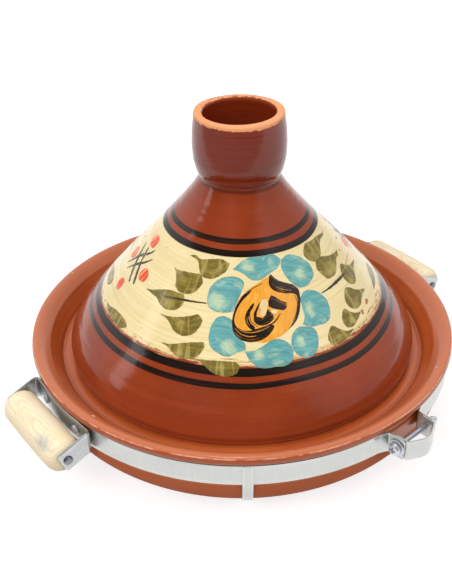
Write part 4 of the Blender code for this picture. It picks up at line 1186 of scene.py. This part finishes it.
BAND_STEEL = make_steel("band_steel", ink(210, 211, 206), ink(192, 194, 190), 0.34, 0.0003, 0.80)
BRACKET_STEEL = make_steel("bracket_steel", ink(205, 208, 208), ink(172, 176, 178), 0.28, 0.0003, 0.90)
FASTENER_STEEL = make_steel("fastener_steel", ink(228, 232, 238), ink(190, 196, 206), 0.34, 0.0002, 0.75)
ROD_STEEL = make_steel("rod_steel", ink(160, 164, 168), ink(116, 120, 126), 0.40, 0.0003, 0.85)
print("steel finishes:", [steel.name for steel in (BAND_STEEL, BRACKET_STEEL, FASTENER_STEEL, ROD_STEEL)])

# %% [markdown]
# Sheet is a rounded rectangle carried along a bent line. The same rule makes the band round the
# dish, the straps under it, the brackets and the bow of the clamp.


# %% Strips of sheet
def section(width, thickness, rounding):
    """Rounded rectangle as (across, out) pairs going round once, with the wear of each point."""
    w, t = width / 2 - rounding, thickness / 2 - rounding
    turn = np.radians(np.linspace(0, 90, 4))
    corner = rounding * np.column_stack([np.cos(turn), np.sin(turn)])
    flip = corner[::-1] * (-1, 1)
    side = np.column_stack([np.linspace(w, -w, 6)[1:-1], np.full(4, thickness / 2)])
    upper = np.concatenate([corner + (w, t), side, flip + (-w, t)])
    points = np.concatenate([upper, -upper])
    worn = np.clip(1.6 - (width / 2 - np.abs(points[:, 0])) / 0.0007, 0, 1)
    return points, worn


def strip(line, side, width, thickness, corner, rounding, lean=None):
    """Shell of a flat strip carried along a line of points; side is the way of its width.

    Point(i, j) = line_i + across_j side_i + out_j normal_i. The width narrows to round the strip's
    end corners: half(s) = h - c + sqrt(c^2 - (c - s)^2) within c of an end. lean moves the points.
    """
    far = lengths_along(line)
    ends = corner * (1 - np.cos(np.linspace(0, math.pi / 2, 6)))
    places = np.unique(np.concatenate([ends, far[(far > corner) & (far < far[-1] - corner)], far[-1] - ends]))
    line = np.column_stack([np.interp(places, far, line[:, k]) for k in range(3)])
    way = np.gradient(line, places, axis=0)
    way /= np.linalg.norm(way, axis=1)[:, None]
    side = np.broadcast_to(np.asarray(side, float), line.shape)
    out = np.cross(way, side)
    out /= np.linalg.norm(out, axis=1)[:, None]
    points, worn = section(width, thickness, rounding)
    near = np.minimum(places, places[-1] - places)
    cut = corner - np.sqrt(np.clip(corner ** 2 - np.clip(corner - near, 0, None) ** 2, 0, None))
    narrow = 1 - cut / (width / 2)
    across = points[:, :1] * narrow[:, None, None]
    grid = line[:, None] + across * side[:, None] + points[:, 1:] * out[:, None]
    if lean is not None:
        grid = lean(grid)
    return shell(grid, worn=np.maximum(worn, np.clip(1.4 - near / 0.0007, 0, 1)[:, None]))


def about_z(grid, turn):
    """Points turned about the upright axis."""
    c, s = math.cos(turn), math.sin(turn)
    x, y, z = grid[..., 0], grid[..., 1], grid[..., 2]
    return np.stack([x * c - y * s, x * s + y * c, z], -1)


def upright(line, height):
    """A plane line lifted to one height."""
    return np.column_stack([line, np.full(len(line), height)])


def sideways(turn):
    """Level direction at a turn in radians."""
    return np.array([math.cos(turn), math.sin(turn), 0.0])


print("points round a strip:", len(section(BAND_H, BAND_T, 0.00035)[0]))

# %% [markdown]
# The band runs round the dish and folds outwards at the clamp. Just before each fold it leaves
# the round wall in a crease, where it was bent over a bar.


# %% Band round the dish
def band_line():
    """Middle line of the band in the clamp's own frame: tab, crease, round the dish, crease, tab."""
    crease_turn = math.asin(CREASE_SIDE / BAND_R)
    crease = (BAND_R * math.cos(crease_turn), CREASE_SIDE)
    tab = bent([crease, (BAND_R + 0.0014, TAB_SIDE), (BAND_R + TAB_END, TAB_SIDE)], [0.0016], 8)[::-1]
    sweep = np.linspace(crease_turn, 2 * math.pi - crease_turn, 420)[1:-1]
    arc = np.column_stack([BAND_R * np.cos(sweep), BAND_R * np.sin(sweep)])
    start = np.concatenate([walk(tab[:2], 0.0012)[:-1], tab[1:-2], walk(tab[-2:], 0.0012)])
    return np.concatenate([start, arc, start[::-1] * (1, -1)])


def bored(made, centre, way, radius, length):
    """A round hole through a piece, cut by a cylinder that is then thrown away."""
    turn = np.linspace(0, 2 * math.pi, 32, endpoint=False)
    ring = np.stack([radius * np.cos(turn), radius * np.sin(turn), 0 * turn], -1)
    up = (0, 0, 1.0)
    ends = [placed(ring + (0, 0, z), centre, up, np.cross(way, up), way) for z in (-length / 2, length / 2)]
    body = shell(np.stack(ends), worn=0.0)
    mesh = bpy.data.meshes.new("drill")
    mesh.from_pydata(body["points"].tolist(), [], body["faces"].tolist() + body["fans"].tolist())
    drill = bpy.data.objects.new("drill", mesh)
    bpy.context.scene.collection.objects.link(drill)
    cut = made.modifiers.new("bore", "BOOLEAN")
    cut.operation = "DIFFERENCE"
    cut.solver = "EXACT"
    cut.object = drill
    bpy.context.view_layer.update()
    result = bpy.data.meshes.new_from_object(made.evaluated_get(bpy.context.evaluated_depsgraph_get()))
    made.modifiers.clear()
    old = made.data
    made.data = result
    result.name = old.name
    bpy.data.meshes.remove(old)
    bpy.data.objects.remove(drill, do_unlink=True)
    print(made.name, "bored at", [round(1000 * x, 1) for x in centre])


CLAMP_OUT = sideways(CLAMP_TURN)
CLAMP_ALONG = np.array([-math.sin(CLAMP_TURN), math.cos(CLAMP_TURN), 0.0])
SCREW_MIDDLE = CLAMP_OUT * SCREW_R + np.array([0, 0, BAND_Z])
band_path = about_z(upright(band_line(), BAND_Z), CLAMP_TURN)
BAND = piece("belt_band_sheet", [strip(band_path, (0, 0, 1), BAND_H, BAND_T, 0.0016, 0.00035)],
             BAND_STEEL, "dish_and_band", ["belt_band"])
bored(BAND, SCREW_MIDDLE, CLAMP_ALONG, BORE_R, 0.040)

# %% [markdown]
# Two straps hook over the band and cross under the dish. One lies flat on the table; the other
# steps over it in the middle.


# %% Straps under the dish
def under_point(turn, offset):
    """Point at a distance from the dish's rounded underside: an ellipse quadrant and its normal."""
    wide, deep = WALL_R - FOOT_R, UNDER_TOP - FOOT_Z
    normal = np.stack([np.cos(turn) / wide, -np.sin(turn) / deep], -1)
    normal /= np.linalg.norm(normal, axis=-1, keepdims=True)
    return np.stack([FOOT_R + wide * np.cos(turn), UNDER_TOP - deep * np.sin(turn)], -1) + normal * offset


def strap_line(raised):
    """Middle line of a strap in its own upright plane, from hook to hook."""
    inner = NECK_R + GAP + STRAP_T / 2
    outer = BAND_OUT + GAP + STRAP_T / 2
    top = BAND_Z + BAND_H / 2 + GAP + STRAP_T / 2
    low = BAND_Z - BAND_H / 2
    hook = bent([(inner, top - 0.0042), (inner, top), (outer, top), (outer, low)], [0.0007, 0.0007], 5)
    under = under_point(np.radians(np.linspace(16, 90, 40)), GAP + STRAP_T / 2)
    lead = bend((outer, low - 0.001), -90, under[0], -100, 12, (0.20, 0.30))
    half = np.concatenate([hook, lead, under[1:]])
    if raised:
        step = STRAP_T * 1.5 + GAP
        ramp = [half[-1] - (0.001, 0), (0.019, STRAP_T / 2), (0.009, step), (0.0, step)]
        half = np.concatenate([half, bent(ramp, [0.006, 0.006], 8)[1:-1]])
    return walk(np.concatenate([half, half[::-1] * (-1, 1)]), 0.0011)


STRAPS = (("under_strap_lower", CAMERA_SIDE, False), ("under_strap_upper", CAMERA_SIDE + 90, True))
for strap_name, strap_turn, raised in STRAPS:
    flat_line = strap_line(raised)
    strap_way = sideways(math.radians(strap_turn))
    strap_path = flat_line[:, :1] * strap_way + flat_line[:, 1:] * np.array([0, 0, 1.0])
    strap_side = np.array([-strap_way[1], strap_way[0], 0.0])
    piece(strap_name + "_sheet", [strip(strap_path, strap_side, STRAP_W, STRAP_T, 0.0010, 0.00025)],
          BAND_STEEL, "dish_and_band", [strap_name])

# %% [markdown]
# A pin, a rivet, a nut or a washer is a small turned outline, placed with its own axis. The
# wooden grips are turned in the same way, with a bore for the rod.


# %% Small turned pieces
def turned_at(outline, centre, way, steps, ring=False, relief=None, blur=0.00012):
    """Shell of an outline turned about an axis through centre; the axis points along way.

    ring is for an outline that closes on itself, such as a washer's. relief is a rule that gives
    each point its own rise along the axis.
    """
    line = soften(np.array(outline, float), blur, 0.00006)
    rows = choose_rows(line, 0.0008, 0.16)
    worn = np.clip(convex(rows, 0.0004) * 9, 0, 1)[:, None]
    poles = None
    if ring:
        rows, worn = rows[:-1], worn[:-1]
    elif rows[0, 0] < 1e-7:
        poles = [rows[0, 1], rows[-1, 1]]
        rows, worn = rows[1:-1], worn[1:-1]
    grid = lathe(rows, steps)
    if relief is not None:
        grid[..., 2] += relief(grid)
        poles[1] += float(relief(np.zeros((1, 3)))[0])
    way = np.asarray(way, float)
    across = np.cross((0, 0, 1.0), way)
    across /= np.linalg.norm(across)
    up = np.cross(way, across)
    if poles is not None:
        poles = [placed(np.array([0, 0, z]), centre, across, up, way) for z in poles]
    return shell(placed(grid, centre, across, up, way), ring=ring, poles=poles, worn=worn)


def pin_outline(shank, head, height, start, seat, crown):
    """Outline of a pin from its start up to a domed head that sits at seat."""
    dome = np.radians(np.linspace(0, 90, 12))
    cap = np.column_stack([crown + (head / 2 - crown) * np.cos(dome),
                           seat + height * (0.12 + 0.88 * np.sin(dome))])
    foot = [(0.0, start), (shank / 2, start), (shank / 2, seat), (head / 2, seat)]
    return np.concatenate([foot, cap, [(0.0, seat + height)]])


def grip_outline():
    """Ring-shaped outline of a turned grip with its bore: rounded ends and a slight belly."""
    bore, end_r, belly_r, rounding = 0.0028, 0.0129, 0.0134, 0.0078
    end = bend((end_r - rounding, GRIP_HALF), 0, (end_r, GRIP_HALF - rounding), -90, 20, (0.46, 0.40))
    belly = bend(end[-1], -89, (belly_r, 0.0), -90, 20)
    outside = np.concatenate([end, belly[1:]])
    both = np.concatenate([outside, outside[:-1][::-1] * (1, -1)])
    return np.concatenate([[(bore, GRIP_HALF)], both, [(bore, -GRIP_HALF), (bore, GRIP_HALF)]])


print("points down a grip's outline:", len(grip_outline()))

# %% [markdown]
# A bracket is sheet again. Its back lies on the band between two rivets and leaves it in straight
# lines, its arms are folded outwards, and they droop a little to the grip's axis.


# %% Brackets
def bracket_line():
    """Middle line of a bracket in its own frame: arm, back along the band, arm.

    The back lies on the band between the rivets and leaves it along a straight line beyond them.
    """
    back_r = BAND_OUT + GAP + BRACKET_T / 2
    arm = GRIP_HALF + GAP + BRACKET_T / 2
    leave = math.asin(BACK_HALF / back_r)
    last = (back_r * math.cos(leave), BACK_HALF)
    lean = math.tan(leave - 0.10)
    corner = (last[0] - (arm - last[1]) * lean, arm)
    fold = bent([(GRIP_X + ARM_END, arm), corner, last], [0.0026], 9)
    turn = np.linspace(leave, -leave, 40)[1:-1]
    back = np.column_stack([back_r * np.cos(turn), back_r * np.sin(turn)])
    first = np.concatenate([walk(fold[:2], 0.0006)[:-1], fold[1:]])
    return np.concatenate([first, back, first[::-1] * (1, -1)])


def droop(grid):
    """Lower the arms beyond the bracket's back to the grip's axis, and slant their ends square to that.

    x moves out by (z - middle) sin a cos a times the share of the arm passed, then z falls by tan a
    for each step of x, with a the arm's angle.
    """
    fall = (BAND_Z - GRIP_Z) / (GRIP_X - BRACKET_OUT)
    angle = math.atan(fall)
    grid = grid.copy()
    share = np.clip(grid[..., 0] - BRACKET_OUT, 0, None) / (GRIP_X + ARM_END - BRACKET_OUT)
    grid[..., 0] += (grid[..., 2] - BAND_Z) * math.sin(angle) * math.cos(angle) * share
    grid[..., 2] -= fall * np.clip(grid[..., 0] - BRACKET_OUT, 0, None)
    return grid


print("points along a bracket:", len(bracket_line()))

# %% [markdown]
# The grips are bare turned softwood. A tree's rings are shells about its pith, so a turned piece
# shows long ovals where its side cuts them. Years of hands left a grey stain on one side.


# %% Finish of the wood
def make_wood(name, pith, stain):
    """Pale turned softwood: wide ring shells about a pith outside the grip, fibres, and a grey stain.

    A ring's number is the distance from the pith, squeezed along the grip so that the cut rings
    close into long ovals, plus a slow noise.
    """
    material, tree, where = new_finish(name, 0.60, specular=0.30)
    slow = noise(stretched(where, (1.0, 0.45, 1.0)), 40.0, 2.0)
    pith_reach = slow * 0.010 + length_of(stretched(seen_from(where, pith), (1.0, 0.40, 1.0)))
    ring = wire(tree, "ShaderNodeMath", 0, {0: pith_reach * 980.0}, operation="FRACT")
    late = ease(ring, 0.45, 0.95) * ease(ring, 1.0, 0.95)
    fibres = noise(stretched(where, (900.0, 30.0, 900.0)), 1.0, 3.0, 0.6)
    broad = noise(stretched(where, (1.0, 0.6, 1.0)), 55.0, 3.0, 0.55)
    colour = mixed(ease(fibres, 0.30, 0.75), ink(248, 234, 204), ink(241, 223, 186))
    colour = mixed(ease(broad, 0.45, 0.70), colour, ink(244, 219, 172), 0.45)
    colour = mixed(late, colour, ink(222, 190, 140), 0.45)
    stain_reach = length_of(stretched(seen_from(where, stain), (1.0, 0.55, 1.0)))
    smudge = noise(where, 210.0, 4.0, 0.6) * 0.009 + stain_reach
    colour = mixed(ease(smudge, 0.0112, 0.0068), colour, ink(190, 192, 188), 0.62)
    colour = mixed(ease(smudge, 0.0070, 0.0052), colour, ink(176, 160, 132), 0.45)
    return finished(material, colour, late * 0.6 + fibres, 0.0003, 0.45, fibres * 0.25 + 0.45)


# pith and stain of each grip's wood, in metres
WOODS = {"right": ((0.186, 0.020, 0.026), (0.1640, 0.012, 0.0420)),
         "left": ((-0.160, 0.030, 0.024), (-0.1838, -0.0225, 0.0560))}
WOOD = {side: make_wood("wood_" + side, *places) for side, places in WOODS.items()}
print("woods:", [wood.name for wood in WOOD.values()])

# %% [markdown]
# Both handles are the same set of pieces, turned half round. The rod is headed over outside the
# bracket's arms, and two rivets hold the bracket's back to the band.


# %% The two handles
def rod_outline():
    """Outline of a rod, one domed head, the shank and the other head."""
    seat = GRIP_HALF + 2 * GAP + BRACKET_T
    top = pin_outline(0.005, 0.0066, 0.0014, 0.0, seat, 0.0012)[2:]
    return np.concatenate([top[::-1] * (1, -1), top])


def make_handle(side, turn):
    """Bracket, grip, rod and rivets of the handle at a turn in radians."""
    middle = GRIP_X * math.cos(turn) * np.array([1.0, 0, 0]) + np.array([0, 0, GRIP_Z])
    bracket = strip(upright(bracket_line(), BAND_Z), (0, 0, 1), BRACKET_H, BRACKET_T, 0.0022, 0.0004, droop)
    bracket["points"] = about_z(bracket["points"], turn)
    grip = turned_at(grip_outline(), middle, (0, 1, 0), 72, ring=True, blur=0.0004)
    rod = turned_at(rod_outline(), middle, (0, 1, 0), 40)
    piece(f"handle_bracket_{side}_sheet", [bracket], BRACKET_STEEL, "dish_and_band",
          ["handle_bracket_" + side])
    piece(f"grip_{side}_wood", [grip], WOOD[side], "grip_" + side, ["grip_" + side])
    piece(f"grip_rod_{side}_steel", [rod], ROD_STEEL, "dish_and_band", ["grip_rod_" + side])
    spread = math.asin(RIVET_SIDE / BRACKET_OUT)
    outline = pin_outline(0.004, 0.0076, 0.0016, BAND_R - BAND_T / 2, BRACKET_OUT + GAP, 0.0009)
    for label, aside in (("a", -spread), ("b", spread)):
        rivet = turned_at(outline, (0, 0, BAND_Z), about_z(sideways(aside), turn), 40)
        node = f"bracket_rivet_{side}_{label}"
        piece(node + "_steel", [rivet], FASTENER_STEEL, "dish_and_band", [node])


make_handle("right", 0.0)
make_handle("left", math.pi)

# %% [markdown]
# The clamp draws the band's two tabs together. A bow between them keeps them square, and a screw
# with a cross in its head runs through two washers, both tabs and the bow into a round nut.


# %% Clamp
def bow_line():
    """Middle line of the bow: a flange inside each tab and a bulge between them."""
    flange = TAB_SIDE - BAND_T / 2 - GAP - BOW_T / 2
    foot, shoulder, bulge = BAND_R + 0.005, BAND_R + 0.016, BAND_R + 0.0229
    corners = [(foot, -flange), (shoulder, -flange), (bulge, 0.0), (shoulder, flange), (foot, flange)]
    return walk(bent(corners, [0.003, 0.012, 0.003], 12), 0.0007)


def cross_recess(grid):
    """Depth of the cross in the screw's head: two slots with soft edges, only in the head's top."""
    x, y = np.abs(grid[..., 0]), np.abs(grid[..., 1])
    half_length, half_width, depth = 0.0026, 0.00062, 0.0015
    slots = [np.clip((half_width - b) / 0.00018 + 0.5, 0, 1) * np.clip((half_length - a) / 0.0004 + 0.5, 0, 1)
             for a, b in ((x, y), (y, x))]
    return -depth * np.maximum(*slots) * (grid[..., 2] > -0.0001)


def washer_outline(inner, outer, near, far):
    """Ring-shaped outline of a washer between two places on its axis."""
    return [(inner, near), (outer, near), (outer, far), (inner, far), (inner, near)]


bow_path = about_z(upright(bow_line(), BAND_Z), CLAMP_TURN)
BOW = piece("clamp_bow_sheet", [strip(bow_path, (0, 0, 1), BOW_H, BOW_T, 0.0014, 0.0003)],
            BAND_STEEL, "dish_and_band", ["clamp_bow"])
bored(BOW, SCREW_MIDDLE, CLAMP_ALONG, BORE_R, 0.028)

washer_near = TAB_SIDE + BAND_T / 2 + GAP
washer_far = washer_near + WASHER_T
WASHERS = (("clamp_washer", "clamp_washer", -CLAMP_ALONG), ("clamp_nut_washer", "dish_and_band", CLAMP_ALONG))
for washer_name, washer_body, washer_way in WASHERS:
    washer = washer_outline(BORE_R, WASHER_R, washer_near, washer_far)
    piece(washer_name + "_steel", [turned_at(washer, SCREW_MIDDLE, washer_way, 56, ring=True, blur=0.00014)],
          FASTENER_STEEL, washer_body, [washer_name])

nut_near = washer_far + GAP
nut_far = nut_near + NUT_LENGTH
nut = [(BORE_R, nut_near), (NUT_R, nut_near), (NUT_R, nut_far - 0.0006), (NUT_R - 0.0006, nut_far),
       (BORE_R, nut_far), (BORE_R, nut_near)]
piece("clamp_nut_steel", [turned_at(nut, SCREW_MIDDLE, CLAMP_ALONG, 48, ring=True)],
      FASTENER_STEEL, "dish_and_band", ["clamp_nut"])

head_base = washer_far + GAP
head_top = head_base + HEAD_H
screw_end = nut_far + 0.0022
screw_line = [(0.0, -screw_end), (SHANK_R - 0.0004, -screw_end), (SHANK_R, 0.0004 - screw_end),
              (SHANK_R, head_base), (HEAD_R, head_base), (HEAD_R, head_base + 0.0014),
              (HEAD_R - 0.0008, head_top - 0.0005), (SHANK_R, head_top), (0.0, head_top)]
screw_line = np.array(screw_line) - (0, head_top)
screw = turned_at(screw_line, SCREW_MIDDLE - CLAMP_ALONG * head_top, -CLAMP_ALONG, 96, relief=cross_recess)
piece("clamp_screw_steel", [screw], FASTENER_STEEL, "clamp_screw", ["clamp_screw"])

# %% [markdown]
# The picture is a plain catalogue view on a white ground that keeps a soft shadow. A large soft
# light stands on the left, a weaker one on the right and one overhead, and a little light comes
# from all round. Two small lamps are mirrored in the glaze: a window, and one that makes sparks.
# Gloss sees a studio with a dark room in front, or the clear glaze would turn grey.


# %% Floor and world
CAMERA_WAY = sideways(math.radians(CAMERA_SIDE))
RIGHT_WAY = np.array([-CAMERA_WAY[1], CAMERA_WAY[0], 0.0])
ROOM_TURN = math.radians(24)
ROOM_WAY = CAMERA_WAY * math.cos(ROOM_TURN) - RIGHT_WAY * math.sin(ROOM_TURN)
WHITE = (1.0, 1.0, 1.0, 1.0)


def make_floor():
    """Wide floor, white to the camera, that still takes a shadow; gloss sees it end in front."""
    mesh = bpy.data.meshes.new("floor")
    mesh.from_pydata([(-6, -6, 0), (6, -6, 0), (6, 6, 0), (-6, 6, 0)], [], [(0, 1, 2, 3)])
    floor = bpy.data.objects.new("floor", mesh)
    bpy.context.scene.collection.objects.link(floor)
    material = bpy.data.materials.new("floor_white")
    material.use_nodes = True
    tree = material.node_tree
    tree.nodes.clear()
    ray = wires(tree, tree.nodes.new("ShaderNodeLightPath"))
    where = wire(tree, "ShaderNodeTexCoord", "Object", {})
    paper = ease(along(where, ROOM_WAY), 0.31, 0.22, 0.14, 1.0)
    clear = worked("ADD", ray["Is Camera Ray"], ray["Is Transmission Ray"], clamp=True)
    seen = worked("ADD", ray["Is Glossy Ray"] * paper, clear, clamp=True)
    level = ease(length_of(where), 0.35, 1.10, 0.72, 1.0)
    glow = wire(tree, "ShaderNodeEmission", 0, {"Color": WHITE, "Strength": seen * level})
    ground = wire(tree, "ShaderNodeBsdfDiffuse", 0, {"Color": (0.50, 0.50, 0.50, 1)})
    both = wire(tree, "ShaderNodeAddShader", 0, {0: glow, 1: ground})
    add(tree, "ShaderNodeOutputMaterial", {"Surface": both})
    mesh.materials.append(material)
    return floor


def make_world():
    """World that is white to the camera, a soft grey light, and for gloss a studio.

    The studio is white behind and beside the object, dimmer overhead and on the right, and dark
    in front, where the room is: that dark is what lets a clear glaze show its own red.
    """
    world = bpy.data.worlds.new("studio")
    bpy.context.scene.world = world
    world.use_nodes = True
    tree = world.node_tree
    tree.nodes.clear()
    ray = wires(tree, tree.nodes.new("ShaderNodeLightPath"))
    where = wire(tree, "ShaderNodeTexCoord", "Generated", {})
    room = ease(along(where, ROOM_WAY), 0.18, 0.50, 1.0, 0.10)
    right = ease(along(where, RIGHT_WAY), 0.30, 0.80, 1.0, 0.70)
    above = ease(along(where, (0, 0, 1)), 0.70, 0.95, 1.0, 0.65)
    gloss = ray["Is Glossy Ray"]
    clear = worked("ADD", ray["Is Camera Ray"], ray["Is Transmission Ray"], clamp=True)
    soft = gloss * -0.42 + 0.42
    strength = worked("MAXIMUM", clear, gloss * room * right * above + soft)
    sky = wire(tree, "ShaderNodeBackground", 0, {"Color": WHITE, "Strength": strength})
    add(tree, "ShaderNodeOutputWorld", {"Surface": sky})
    return world


FLOOR = make_floor()
WORLD = make_world()
print("stage:", FLOOR.name, "and", WORLD.name)

# %% [markdown]
# The camera stands where the photographer did, well above the knob and looking down. Its place,
# aim, roll and lens were fitted to the round outlines of the lip, the lines and the knob.


# %% Lamps and camera
def point_at(item, place, aim, roll=0.0):
    """Turn a lamp or camera so that it looks from its place to a point, rolled by some degrees."""
    look = (Vector(aim) - Vector(place)).to_track_quat("-Z", "Y")
    item.rotation_euler = (look @ Quaternion((0, 0, 1), math.radians(roll))).to_euler()


def soft_lamp(name, place, size, power, shines):
    """Soft light at a place, facing the object; only one that shines is mirrored in the glaze."""
    data = bpy.data.lights.new(name, "AREA")
    data.shape = "RECTANGLE"
    data.size, data.size_y = size
    data.energy = power
    lamp = bpy.data.objects.new(name, data)
    lamp.location = place
    lamp.visible_glossy = shines
    bpy.context.scene.collection.objects.link(lamp)
    point_at(lamp, place, LAMP_AIM)


LAMP_AIM = (0, 0, 0.1)
LAMPS = (
    # name, place, size, power in watts, and whether it is mirrored
    ("key_light", (-1.35, -0.45, 1.25), (1.0, 1.0), 15.0, False),
    ("fill_light", (0.55, -1.30, 0.95), (0.9, 0.9), 6.5, False),
    ("top_light", (0.1, 0.20, 1.7), (1.2, 1.2), 8.5, False),
    ("window_light", (-1.5, 0.9, 0.75), (0.35, 0.8), 2.0, True),
    ("spark_light", (-0.10, -0.05, 1.5), (0.18, 0.18), 2.0, True),
)
for lamp in LAMPS:
    soft_lamp(*lamp)

CAMERA_PLACE = (-0.3557, -0.4689, 0.4695)
CAMERA_AIM = (-0.0092, 0.0067, 0.0911)
CAMERA_ROLL = -1.15
camera_data = bpy.data.cameras.new("camera")
camera_data.sensor_width = 36.0
camera_data.lens = 56.8
camera = bpy.data.objects.new("camera", camera_data)
camera.location = CAMERA_PLACE
bpy.context.scene.collection.objects.link(camera)
point_at(camera, CAMERA_PLACE, CAMERA_AIM, CAMERA_ROLL)
bpy.context.scene.camera = camera
bpy.context.scene.view_settings.view_transform = "Standard"
print("camera looks from", CAMERA_PLACE, "to", CAMERA_AIM, "with lamps", [name for name, *_ in LAMPS])
